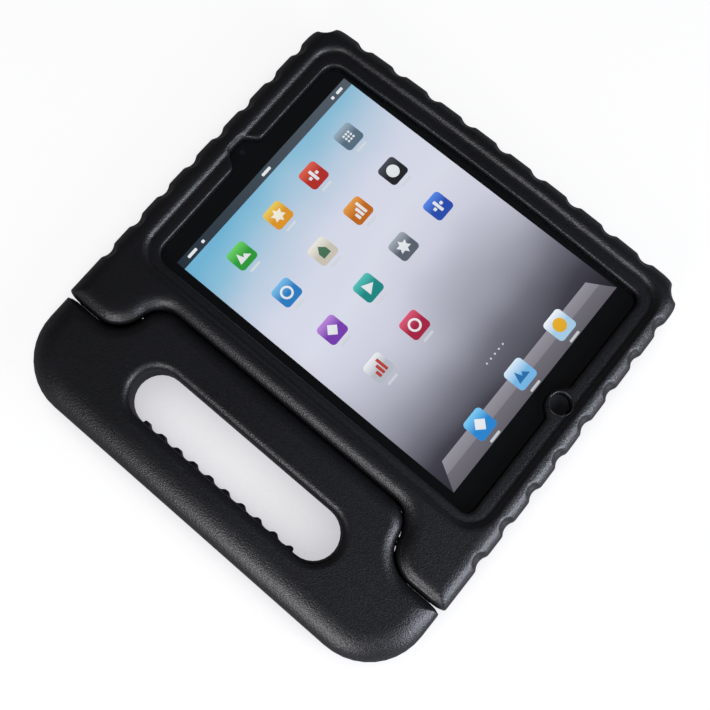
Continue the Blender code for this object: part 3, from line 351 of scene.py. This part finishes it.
@dataclass(frozen=True)
class WorkedMetal:
    """A worked metal, such as bead-blasted anodised aluminium or drawn steel, with its fine grain."""

    name: str
    dark: str
    light: str
    roughness: Span
    grain: Place

    def build(self) -> bpy.types.Material:
        """Return the metal's material."""
        made, tree, shader, place = blank(self.name)
        scaled = add_node(tree, "ShaderNodeMapping", vector_type="TEXTURE",
                          values={"Vector": place, "Scale": self.grain})
        grain = add_node(tree, "ShaderNodeTexNoise",
                         values={"Vector": scaled.outputs["Vector"], "Scale": 1.0,
                                 "Detail": 3.0}).outputs["Fac"]
        colour = ramp(tree, grain, [(0.3, linear(self.dark)), (0.7, linear(self.light))])
        rough = spread(tree, grain, (0.3, 0.7), self.roughness)
        tree.links.new(colour, shader.inputs["Base Color"])
        tree.links.new(rough, shader.inputs["Roughness"])
        shader.inputs["Metallic"].default_value = 1.0
        return made


def dress(piece: bpy.types.Object, finish: bpy.types.Material) -> None:
    """Give a piece one material in place of all that it has.

    Args:
        piece: The object that is dressed.
        finish: Its material.
    """
    if not piece.data.materials:
        piece.data.materials.append(finish)
    for slot in piece.material_slots:
        slot.material = finish


def place_piece(name: str, bm: bmesh.types.BMesh, finishes: Sequence[bpy.types.Material], body: Body,
                sharp: float = 35.0) -> bpy.types.Object:
    """Make a piece from a bmesh, shade it, dress it and let it ride on a body.

    Args:
        name: The piece's name.
        bm: Its shape in the frame, which is freed.
        finishes: Its materials in slot order.
        body: The body that it rides on.
        sharp: Edges above this angle in degrees stay sharp.

    Returns:
        The piece.
    """
    bmesh.ops.recalc_face_normals(bm, faces=bm.faces[:])
    mesh = bpy.data.meshes.new(name)
    bm.to_mesh(mesh)
    bm.free()
    mesh.shade_smooth()
    mesh.set_sharp_from_angle(angle=math.radians(sharp))
    for finish in finishes:
        mesh.materials.append(finish)
    piece = bpy.data.objects.new(name, mesh)
    bpy.context.collection.objects.link(piece)
    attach(piece, body.value)
    LOG.info("%s: %d faces", name, len(mesh.polygons))
    return piece


def darker(code: str, share: float = 0.93) -> str:
    """Return a hex colour with its channels scaled down.

    Args:
        code: The colour, such as #eef2f5.
        share: What is left of each channel.

    Returns:
        The darker colour.
    """
    return "#" + "".join("%02x" % round(int(code[at:at + 2], 16) * share) for at in (1, 3, 5))


def middle(low: Sequence[float], high: Sequence[float]) -> Point:
    """Return the middle of a box along X and Y.

    Args:
        low: Its low corner.
        high: Its high corner.

    Returns:
        The middle.
    """
    return (low[0] + high[0]) / 2, (low[1] + high[1]) / 2


def add_plate(bm: bmesh.types.BMesh, outline: Sequence[Point], low: float, high: float,
              slot: int = 0) -> None:
    """Add a flat plate to a bmesh.

    Args:
        bm: The bmesh that takes the plate.
        outline: Its outline, counter-clockwise, in metres.
        low: Height of its underside.
        high: Height of its top.
        slot: Material index of its faces.
    """
    face = bm.faces.new([bm.verts.new((x, y, low)) for x, y in outline])
    face.material_index = slot
    grown = bmesh.ops.extrude_face_region(bm, geom=[face])["geom"]
    top = [item for item in grown if isinstance(item, bmesh.types.BMVert)]
    bmesh.ops.translate(bm, vec=(0.0, 0.0, high - low), verts=top)
    for side in {side for vert in top for side in vert.link_faces}:
        side.material_index = slot


def rounded_box(x: float, y: float, length: float, width: float, radius: float,
                steps: int = 6) -> List[Point]:
    """Return the outline of a rectangle with round corners, centred at x, y.

    Args:
        x: Centre along X.
        y: Centre along Y.
        length: Size along X.
        width: Size along Y.
        radius: Corner radius.
        steps: Steps in each corner.

    Returns:
        The outline, counter-clockwise.
    """
    outline = []
    for corner, (side_x, side_y) in enumerate(((1, 1), (-1, 1), (-1, -1), (1, -1))):
        for step in range(steps + 1):
            angle = math.pi / 2 * (corner + step / steps)
            outline.append((x + side_x * (length / 2 - radius) + radius * math.cos(angle),
                            y + side_y * (width / 2 - radius) + radius * math.sin(angle)))
    return outline


def regular(x: float, y: float, radius: float, corners: int, turn: float = 0.0,
            inner: float = 1.0) -> List[Point]:
    """Return a regular polygon or star, centred at x, y.

    Args:
        x: Centre along X.
        y: Centre along Y.
        radius: Outer radius.
        corners: Number of corners.
        turn: Angle of the first corner in degrees.
        inner: Radius of every other corner as a share, for a star.

    Returns:
        The outline, counter-clockwise.
    """
    points = []
    for index in range(corners):
        angle = math.radians(turn) + 2 * math.pi * index / corners
        reach = radius * (inner if index % 2 else 1.0)
        points.append((x + reach * math.cos(angle), y + reach * math.sin(angle)))
    return points


@dataclass
class FoamShell:
    """A moulded foam piece: the CAD node's own shape, with its edges broken and its shoulders smooth."""

    node: str
    body: Body
    finish: bpy.types.Material
    edge: float = 0.4 * MM
    edge_angle: float = 32.0
    merge: float = 0.01 * MM
    flatness: float = 0.6
    level: float = 0.9995

    def build(self) -> bpy.types.Object:
        """Return the dressed copy that stands for the CAD node."""
        piece = place_piece(self.node + "_foam", self.copied(), [self.finish], self.body,
                            self.edge_angle)
        self.smooth(piece)
        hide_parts(self.node)
        return piece

    def copied(self) -> bmesh.types.BMesh:
        """Return the node's shape as a bmesh whose flat faces are marked as strong."""
        bm = bmesh.new()
        bm.from_mesh(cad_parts[self.node].data)
        bmesh.ops.transform(bm, matrix=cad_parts[self.node].matrix_world, verts=bm.verts[:])
        bmesh.ops.remove_doubles(bm, verts=bm.verts[:], dist=self.merge)
        bmesh.ops.dissolve_limit(bm, angle_limit=math.radians(self.flatness), verts=bm.verts[:],
                                 edges=bm.edges[:])
        strength = bm.faces.layers.int.new("__mod_weightednormals_faceweight")
        for face in bm.faces:
            face[strength] = STRONG_FACE if abs(face.normal.z) > self.level else 0
        return bm

    def smooth(self, piece: bpy.types.Object) -> None:
        """Break the piece's edges and give it the normals of a moulded skin.

        Args:
            piece: The dressed copy.
        """
        broken = piece.modifiers.new("moulded_edge", "BEVEL")
        broken.width = self.edge
        broken.segments = 2
        broken.limit_method = "ANGLE"
        broken.angle_limit = math.radians(self.edge_angle)
        broken.harden_normals = True
        broken.use_clamp_overlap = False
        weighted = piece.modifiers.new("flat_faces", "WEIGHTED_NORMAL")
        weighted.keep_sharp = True
        weighted.mode = "CORNER_ANGLE"
        weighted.use_face_influence = True


@dataclass
class SoftShell(FoamShell):
    """A foam piece with one skin over its whole shape, whose edges are as soft as foam leaves the mould."""

    grid: float = 0.78 * MM
    passes: int = 5
    triangles: int = 150000
    joint_zone: Place = (-100 * MM, -60 * MM, 125 * MM)
    steepest: float = 0.7
    inward: float = 0.2
    tuck: float = 0.3 * MM

    def smooth(self, piece: bpy.types.Object) -> None:
        """Lay an even skin over the piece, soften it and thin it out.

        Args:
            piece: The dressed copy.
        """
        skin = piece.modifiers.new("moulded_skin", "REMESH")
        skin.mode = "VOXEL"
        skin.voxel_size = self.grid
        skin.use_smooth_shade = True
        soft = piece.modifiers.new("soft_edges", "SMOOTH")
        soft.factor = 0.5
        soft.iterations = self.passes
        self.bake(piece)
        count = sum(len(face.vertices) - 2 for face in piece.data.polygons)
        thin = piece.modifiers.new("thin_out", "DECIMATE")
        thin.ratio = min(1.0, self.triangles / count)
        self.bake(piece)
        self.close_up(piece.data)
        LOG.info("%s: %d triangles, thinned from %d", piece.name, len(piece.data.polygons), count)
        piece.modifiers.new("flat_faces", "WEIGHTED_NORMAL")

    def close_up(self, mesh: bpy.types.Mesh) -> None:
        """Give back along the parting line what the softening takes off.

        Only walls that face the handle or the side move, not the top, the underside or the screen recess.

        Args:
            mesh: The softened mesh.
        """
        near, far, side = self.joint_zone
        bm = bmesh.new()
        bm.from_mesh(mesh)
        bm.normal_update()
        for vert in bm.verts:
            in_zone = near < vert.co.y < far and abs(vert.co.x) < side
            if in_zone and abs(vert.normal.z) < self.steepest and vert.normal.y < self.inward:
                vert.co += vert.normal * self.tuck
        bm.to_mesh(mesh)
        bm.free()

    def bake(self, piece: bpy.types.Object) -> None:
        """Put the outcome of the piece's modifiers into its mesh.

        Args:
            piece: The object, whose modifiers are then removed.
        """
        graph = bpy.context.evaluated_depsgraph_get()
        mesh = bpy.data.meshes.new_from_object(piece.evaluated_get(graph))
        piece.modifiers.clear()
        piece.data = mesh
        mesh.materials.clear()
        mesh.materials.append(self.finish)
        mesh.shade_smooth()


@dataclass
class Icon:
    """One tile on the screen: a coloured plate with a plain motif and a pale name bar below it."""

    name: str
    x: float
    y: float
    motif: Motif
    top: str
    foot: str
    mark: str
    size: float = ICON_SIZE

    def outline(self) -> List[List[Point]]:
        """Return the outlines of the motif's shapes."""
        x, y, unit = self.x, self.y, self.size / ICON_SIZE
        step = 2.4 * MM * unit
        reach = 3.9 * MM * unit
        if self.motif is Motif.DISC:
            return [regular(x, y, reach, 24)]
        if self.motif is Motif.RING:
            return [regular(x, y, reach, 32)]
        if self.motif is Motif.BARS:
            return [rounded_box(x + step * (0.9 - 0.45 * index), y + step * (index - 1) * 1.1,
                                step * (1.6 + 0.9 * index), step * 0.75, 0.3 * MM, 2) for index in range(3)]
        if self.motif is Motif.TRIANGLE:
            return [regular(x, y, reach * 1.1, 3, 90.0)]
        if self.motif is Motif.DIAMOND:
            return [regular(x, y, reach, 4)]
        if self.motif is Motif.PLUS:
            return [rounded_box(x, y, reach * 1.9, step * 0.8, 0.4 * MM, 2),
                    rounded_box(x, y + reach * 0.68, step * 0.8, reach * 0.5, 0.3 * MM, 2),
                    rounded_box(x, y - reach * 0.68, step * 0.8, reach * 0.5, 0.3 * MM, 2)]
        if self.motif is Motif.DOTS:
            return [regular(x + step * row * 0.85, y + step * column * 0.85, step * 0.32, 12)
                    for row in (-1, 0, 1) for column in (-1, 0, 1)]
        if self.motif is Motif.STAR:
            return [regular(x, y, reach * 1.15, 12, 0.0, 0.55)]
        if self.motif is Motif.HOUSE:
            return [[(x + reach * 0.9, y - reach * 0.75), (x + reach * 0.9, y + reach * 0.75),
                     (x - reach * 0.1, y + reach * 0.75), (x - reach, y),
                     (x - reach * 0.1, y - reach * 0.75)]]
        return [[(x + reach * 0.8, y - reach * 1.1), (x + reach * 0.8, y + reach * 1.1),
                 (x - reach * 0.1, y + reach * 0.4), (x + reach * 0.35, y),
                 (x - reach * 0.8, y - reach * 0.4)]]

    def build(self, top: float, label_finish: bpy.types.Material) -> bpy.types.Object:
        """Return the icon on a surface.

        Args:
            top: Height of the surface that it lies on.
            label_finish: Material of the name bar.

        Returns:
            The icon.
        """
        start = (self.x - self.size / 2, self.y)
        end = (self.x + self.size / 2, self.y)
        tile = LitPicture(self.name + "_tile", ((0.0, self.top), (0.55, self.foot), (1.0, self.foot)),
                          start, end).build()
        mark = LitPicture(self.name + "_mark", ((0.0, self.mark), (1.0, darker(self.mark))),
                          start, end).build()
        bm = bmesh.new()
        add_plate(bm, rounded_box(self.x, self.y, self.size, self.size, 2.4 * MM), top, top + LAYER)
        for shape in self.outline():
            add_plate(bm, shape, top + LAYER, top + 2 * LAYER, 1)
        if self.motif is Motif.RING:
            hole = regular(self.x, self.y, self.size * 0.19, 32)
            add_plate(bm, hole, top + 2 * LAYER, top + 3 * LAYER)
        bar = rounded_box(self.x + self.size * 0.72, self.y, 1.5 * MM, 8.0 * MM, 0.7 * MM, 3)
        add_plate(bm, bar, top, top + LAYER, 2)
        return place_piece(self.name, bm, [tile, mark, label_finish], Body.CASE)


@dataclass
class Screen:
    """The lit screen, laid on the cover glass: a ground from blue to grey, a status strip, icons, a dock."""

    length: float = 197.0 * MM
    width: float = 147.8 * MM
    strip: float = 5.8 * MM
    columns: int = 4
    pitch_x: float = 33.0 * MM
    pitch_y: float = 31.5 * MM
    first_row: float = 19.5 * MM
    corner: float = 0.2 * MM
    window: float = 1.6 * MM
    shelf_reach: float = 15 * MM
    shelf_fade: float = 17 * MM
    shelf_slant: float = 9 * MM
    dock_inset: float = 11.5 * MM
    dock_pitch: float = 36.0 * MM
    dock_size: float = 14.2 * MM
    dots: int = 5
    dots_inset: float = 29 * MM
    dots_pitch: float = 3.6 * MM
    dots_radius: float = 0.6 * MM

    def __post_init__(self) -> None:
        """Find the glass."""
        low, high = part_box("tablet_front_glass")
        self.x, self.y = middle(low, high)
        self.top = high[2]

    def layer(self, count: int) -> float:
        """Return a height above the glass.

        Args:
            count: How many layers lie below it.

        Returns:
            The height in the frame.
        """
        return self.top + count * LAYER

    def ground(self) -> None:
        """Make the picture ground, the status strip and its small marks."""
        half = self.length / 2
        finish = LitPicture("display_ground", (
            (0.0, "#76badb"), (0.07, "#93c6df"), (0.16, "#c0d3e6"), (0.28, "#dbdfee"), (0.43, "#e0e2ee"),
            (0.56, "#d4d5e3"), (0.7, "#b0b1be"), (0.83, "#73747f"), (0.92, "#42414c"), (1.0, "#27252c"),
        ), (self.x - half, self.y - self.width * 0.05), (self.x + half, self.y + self.width * 0.08),
            drift=35 * MM, drift_size=60 * MM).build()
        bm = bmesh.new()
        add_plate(bm, rounded_box(self.x, self.y, self.length, self.width, self.corner, 2),
                  self.layer(0), self.layer(1))
        place_piece("display_ground", bm, [finish], Body.CASE)
        bar = LitPicture("status_strip", ((0.0, "#27333d"), (1.0, "#55606a")),
                         (self.x, self.y - self.width / 2), (self.x, self.y + self.width / 2)).build()
        white = LitPicture("screen_white", ((0.0, "#eef2f5"), (1.0, "#e2e7ea")),
                           (self.x - half, self.y), (self.x + half, self.y)).build()
        bm = bmesh.new()
        line = self.x - half + self.strip / 2
        add_plate(bm, rounded_box(line, self.y, self.strip, self.width, self.corner, 2),
                  self.layer(1), self.layer(2))
        for offset, wide in ((-64.0, 7.0), (-55.0, 2.0), (0.0, 7.0), (60.0, 2.0), (66.0, 5.0)):
            add_plate(bm, rounded_box(line, self.y + offset * MM, 1.8 * MM, wide * MM, 0.5 * MM, 2),
                      self.layer(2), self.layer(3), 1)
        place_piece("status_strip", bm, [bar, white], Body.CASE)

    def camera_window(self) -> None:
        """Make the clear window in the black border that the front camera looks through."""
        x, y = middle(*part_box("front_camera"))
        window = MouldedPlastic("cover_glass_clear_window", "#0b1016", "#141b24", 0.08).build()
        bm = bmesh.new()
        add_plate(bm, regular(x, y, self.window, 28), self.layer(0), self.layer(1))
        place_piece("camera_window", bm, [window], Body.CASE)

    def icons(self) -> None:
        """Make the grid of icons and the dock."""
        label = LitPicture("label_bar", ((0.0, "#dfe4e8"), (1.0, "#c9cdd2")),
                           (self.x - self.length / 2, self.y), (self.x + self.length / 2, self.y)).build()
        looks = [
            ("#6fd86a", "#2f9e3a", Motif.HILLS), ("#f4d35e", "#e39a2b", Motif.STAR),
            ("#e8654f", "#b6312b", Motif.PLUS), ("#9fb4c2", "#5c7384", Motif.DOTS),
            ("#7bc4f0", "#2d7fc4", Motif.RING), ("#f2efe6", "#cfc8b8", Motif.HOUSE),
            ("#f0a24b", "#c46a1e", Motif.BARS), ("#4c4f57", "#24262b", Motif.DISC),
            ("#c08be0", "#7a3fb0", Motif.DIAMOND), ("#58c8bf", "#1f8b86", Motif.TRIANGLE),
            ("#a7b0ba", "#5d6670", Motif.STAR), ("#5b8def", "#2b4fb0", Motif.PLUS),
            ("#f3f4f6", "#b9bec6", Motif.BARS), ("#e45b78", "#a82645", Motif.RING),
        ]
        marks = {"#f2efe6": "#4d7a5c", "#f3f4f6": "#c2453d", "#f4d35e": "#fffbe8"}
        first_x = self.x - self.length / 2 + self.strip + self.first_row
        for index, (top, foot, motif) in enumerate(looks):
            row, column = divmod(index, self.columns)
            x = first_x + row * self.pitch_x
            y = self.y + (column - (self.columns - 1) / 2) * self.pitch_y
            Icon("icon_%d_%d" % (row + 1, column + 1), x, y, motif, top, foot,
                 marks.get(top, PALE_MARK)).build(self.layer(1), label)
        self.dock(label)

    def dock(self, label: bpy.types.Material) -> None:
        """Make the dock shelf with its three icons and the page dots.

        Args:
            label: Material of the name bars.
        """
        end, half = self.x + self.length / 2, self.width / 2
        start, cut = end - self.shelf_reach, half - self.shelf_slant
        shelf = LitPicture("dock_shelf", (
            (0.0, "#9b98a0"), (0.5, "#87848b"), (0.52, "#716e75"), (1.0, "#65626a"),
        ), (end - self.shelf_fade, self.y), (end, self.y)).build()
        bm = bmesh.new()
        add_plate(bm, [(start, self.y - cut), (end, self.y - half), (end, self.y + half),
                       (start, self.y + cut)], self.layer(1), self.layer(2))
        place_piece("dock_shelf", bm, [shelf], Body.CASE)
        looks = [
            ("#7fd0f7", "#2c86cf", Motif.DIAMOND, PALE_MARK), ("#dff1fb", "#79b9e6", Motif.HILLS, "#2f77b5"),
            ("#f7f9fb", "#a9cfe8", Motif.DISC, "#efb52f"),
        ]
        for index, (top, foot, motif, mark) in enumerate(looks):
            Icon("dock_icon_%d" % (index + 1), end - self.dock_inset, self.y + (index - 1) * self.dock_pitch,
                 motif, top, foot, mark, self.dock_size).build(self.layer(2), label)
        bm = bmesh.new()
        for index in range(self.dots):
            offset = (index - self.dots // 2) * self.dots_pitch
            add_plate(bm, regular(end - self.dots_inset, self.y + offset, self.dots_radius, 10),
                      self.layer(1), self.layer(2))
        place_piece("page_dots", bm, [label], Body.CASE)

    def build(self) -> None:
        """Make the whole screen."""
        self.ground()
        self.camera_window()
        self.icons()


@dataclass
class Hardware:
    """The CAD nodes that keep their own shape and only take a finish."""

    button: str = "home_button"

    def build(self) -> None:
        """Dress every node that no piece stands for, by the start of its name."""
        steel = WorkedMetal("steel_drawn_and_plated", "#8f9296", "#b9bcc0", (0.22, 0.38),
                            (6 * MM, 0.3 * MM, 0.3 * MM)).build()
        aluminium = WorkedMetal("aluminium_bead_blasted_anodised", "#a9abad", "#c3c5c7", (0.36, 0.5),
                                (0.3 * MM, 0.3 * MM, 0.3 * MM)).build()
        nylon = MouldedPlastic("nylon_injection_moulded", "#141415", "#1e1e20", 0.5).build()
        lens = MouldedPlastic("polycarbonate_lens_black", "#07080a", "#0d0f13", 0.12).build()
        foil = MouldedPlastic("aluminised_pouch_foil", "#2b2b2d", "#3a3a3d", 0.35, 2 * MM).build()
        board = MouldedPlastic("solder_resist_over_glass_fibre", "#0f3a22", "#17502f", 0.35, 1.5 * MM).build()
        panel = MouldedPlastic("liquid_crystal_panel", "#30343a", "#3c424a", 0.2, 5 * MM).build()
        glass = CoverGlass().build()
        # Painted light: the button's black is lifted to dark grey for the gloss it shows, since the lamps
        # barely reach its deep recess.
        button = MouldedPlastic("polycarbonate_black_with_painted_light", "#202125", "#2c2d32", 0.2).build()
        looks = {
            "hinge_pin": steel, "home_button_switch": steel, "hinge_socket": nylon, "hinge_insert": nylon,
            "speaker": nylon, "dock_connector": nylon, "tablet_rear_shell": aluminium,
            "power_button": aluminium, "volume_rocker": aluminium, "rear_camera": lens, "front_camera": lens,
            "battery_cell": foil, "logic_board": board, "display_panel": panel, "tablet_front_glass": glass,
        }
        for name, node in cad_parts.items():
            if name == self.button:
                dress(node, button)
                continue
            for start, finish in looks.items():
                if name.startswith(start):
                    dress(node, finish)
        LOG.info("hardware: %d nodes dressed", len(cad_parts))


@dataclass
class HoleBead:
    """The fine raised bead that the mould leaves round the home button's hole."""

    finish: bpy.types.Material
    height: float = 23.8 * MM
    ring: float = 6.75 * MM
    bead: float = 0.42 * MM
    segments: int = 10
    steps: int = 56
    merge: float = 0.001 * MM
    sharp: float = 80.0

    def build(self) -> None:
        """Make the bead as a full turn of a small circle."""
        x, y = middle(*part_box("home_button"))
        bm = bmesh.new()
        ring = bmesh.ops.create_circle(bm, cap_ends=False, segments=self.segments, radius=self.bead)["verts"]
        bmesh.ops.rotate(bm, cent=(0, 0, 0), matrix=Matrix.Rotation(math.pi / 2, 3, "X"), verts=ring)
        bmesh.ops.translate(bm, vec=(x + self.ring, y, self.height), verts=ring)
        bmesh.ops.spin(bm, geom=bm.verts[:] + bm.edges[:], cent=(x, y, 0), axis=(0, 0, 1),
                       angle=2 * math.pi, steps=self.steps, use_merge=True)
        bmesh.ops.remove_doubles(bm, verts=bm.verts[:], dist=self.merge)
        place_piece("home_button_bead", bm, [self.finish], Body.CASE, self.sharp)


@dataclass(frozen=True)
class Softbox:
    """A square lamp that looks at the middle of the case."""

    name: str
    place: Place
    size: float
    watts: float
    tint: str

    def build(self) -> None:
        """Hang the lamp."""
        light = bpy.data.lights.new(self.name, "AREA")
        light.shape = "SQUARE"
        light.size = self.size
        light.energy = self.watts
        light.color = linear(self.tint)[:3]
        lamp = bpy.data.objects.new(self.name, light)
        lamp.location = self.place
        lamp.rotation_euler = (-Vector(self.place)).to_track_quat("-Z", "Y").to_euler()
        bpy.context.collection.objects.link(lamp)


@dataclass
class Studio:
    """A white table, soft lamps and the camera at the photograph's angle."""

    eye: Place = (0.0434, -0.1070, 0.5119)
    ahead: Place = (-0.1411, 0.1632, -0.9765)
    right: Place = (0.7633, 0.6461, -0.0023)
    lens: float = 46.26
    shift: Point = (0.100, -0.038)
    sensor: float = 36.0
    lift: float = 0.92
    mirror_share: float = 0.85
    mirror_dim: float = 0.9
    shade_reach: float = 60 * MM
    shade_from: Span = (0.2, 0.72)
    shade_to: Span = (0.6, 1.0)
    floor_reach: float = 20.0
    floor_gap: float = 0.3 * MM
    ambient: float = 0.09
    wall: Span = (0.02, 0.2)
    clip: Span = (0.01, 20.0)
    lamps: Tuple[Softbox, ...] = (
        Softbox("key_softbox", (0.2, -1.0, 0.55), 0.5, 13.0, "#fdfdff"),
        Softbox("side_softbox", (1.05, 0.1, 0.46), 0.6, 25.0, "#e8edfa"),
    )

    def mirrored(self, tree: bpy.types.NodeTree, rays: bpy.types.Node) -> bpy.types.NodeSocket:
        """Return one for rays that come off gloss or through glass.

        Args:
            tree: The node tree that takes the node.
            rays: Its Light Path node.

        Returns:
            The sum of both kinds of ray.
        """
        return calculate(tree, "ADD", rays.outputs["Is Glossy Ray"], rays.outputs["Is Transmission Ray"])

    def floor(self) -> None:
        """Make the white table top.

        The camera sees it as evenly lit paper, with a painted shadow close to the case drawn from ambient
        occlusion. Gloss sees it dimmer.
        """
        made, tree, shader, place = blank("paper_sweep_matt_white")
        fibre = add_node(tree, "ShaderNodeTexNoise",
                         values={"Vector": place, "Scale": 1 / (3 * MM), "Detail": 4.0})
        colour = ramp(tree, fibre.outputs["Fac"], [(0.3, linear("#efeef3")), (0.7, linear("#f4f3f8"))])
        tree.links.new(colour, shader.inputs["Base Color"])
        shader.inputs["Roughness"].default_value = 0.9
        rays = add_node(tree, "ShaderNodeLightPath")
        mirrors = self.mirrored(tree, rays)
        seen = calculate(tree, "MULTIPLY_ADD", mirrors, self.mirror_share, rays.outputs["Is Camera Ray"],
                         use_clamp=True)
        share = calculate(tree, "MULTIPLY", seen, self.lift)
        # Painted shadow: ambient occlusion darkens the paper's glow next to the case and inside the handle's
        # slot.
        painted_shadow_ao = add_node(tree, "ShaderNodeAmbientOcclusion", samples=8, values={"Distance": self.shade_reach})
        level = spread(tree, painted_shadow_ao.outputs["AO"], self.shade_from, self.shade_to)
        dim = calculate(tree, "MULTIPLY_ADD", mirrors, -self.mirror_dim, 1.0)
        glow = calculate(tree, "MULTIPLY", level, dim)
        # Painted shade colour: lilac where the occlusion is deep, white in the open.
        tint = ramp(tree, level, [(0.5, linear("#f3f1fb")), (1.0, linear("#ffffff"))])
        plain = add_node(tree, "ShaderNodeEmission", values={"Color": tint, "Strength": glow})
        both = add_node(tree, "ShaderNodeMixShader",
                        values={0: share, 1: shader.outputs[0], 2: plain.outputs[0]})
        tree.links.new(both.outputs[0], tree.nodes["Material Output"].inputs["Surface"])
        bm = bmesh.new()
        bmesh.ops.create_grid(bm, x_segments=1, y_segments=1, size=self.floor_reach)
        mesh = bpy.data.meshes.new("paper_sweep")
        bm.to_mesh(mesh)
        bm.free()
        mesh.materials.append(made)
        sweep = bpy.data.objects.new("paper_sweep", mesh)
        bpy.context.collection.objects.link(sweep)
        sweep.location = (0.0, 0.0, CAD_BOX[0][2] - self.floor_gap)

    def world(self) -> None:
        """Make the surroundings: pale to the camera, dim as light, and in gloss only pale low down."""
        world = bpy.data.worlds.new("studio")
        bpy.context.scene.world = world
        world.use_nodes = True
        tree = world.node_tree
        back = tree.nodes["Background"]
        back.inputs["Color"].default_value = linear("#f6f7fb")
        rays = add_node(tree, "ShaderNodeLightPath")
        ways = add_node(tree, "ShaderNodeTexCoord")
        parts = add_node(tree, "ShaderNodeSeparateXYZ", values={"Vector": ways.outputs["Generated"]})
        low = spread(tree, parts.outputs["Z"], self.wall, (1.0, 0.0))
        walls = calculate(tree, "MULTIPLY", low, self.mirrored(tree, rays))
        seen = calculate(tree, "MAXIMUM", rays.outputs["Is Camera Ray"], walls)
        level = spread(tree, seen, (0.0, 1.0), (self.ambient, 1.0))
        tree.links.new(level, back.inputs["Strength"])

    def camera(self) -> None:
        """Place the camera at the photograph's angle."""
        data = bpy.data.cameras.new("camera")
        data.sensor_width = self.sensor
        data.lens = self.lens
        data.shift_x, data.shift_y = self.shift
        data.clip_start, data.clip_end = self.clip
        back = -Vector(self.ahead).normalized()
        side = (Vector(self.right) - back * Vector(self.right).dot(back)).normalized()
        up = back.cross(side)
        turn = Matrix((side, up, back)).transposed().to_4x4()
        eye = bpy.data.objects.new("camera", data)
        eye.matrix_world = Matrix.Translation(self.eye) @ turn
        bpy.context.collection.objects.link(eye)
        bpy.context.scene.camera = eye

    def build(self) -> None:
        """Make floor, lamps, surroundings and camera."""
        self.floor()
        self.world()
        for lamp in self.lamps:
            lamp.build()
        self.camera()
        bpy.context.scene.view_settings.view_transform = "Standard"


def main() -> None:
    """Build the case, the screen and the studio in order."""
    logging.basicConfig(level=logging.INFO, format="%(name)s: %(message)s")
    foam = EvaFoam().build()
    Hardware().build()
    SoftShell("case_body", Body.CASE, foam).build()
    FoamShell("handle", Body.HANDLE, foam).build()
    HoleBead(foam).build()
    Screen().build()
    Studio().build()


if __name__ == "__main__":
    main()
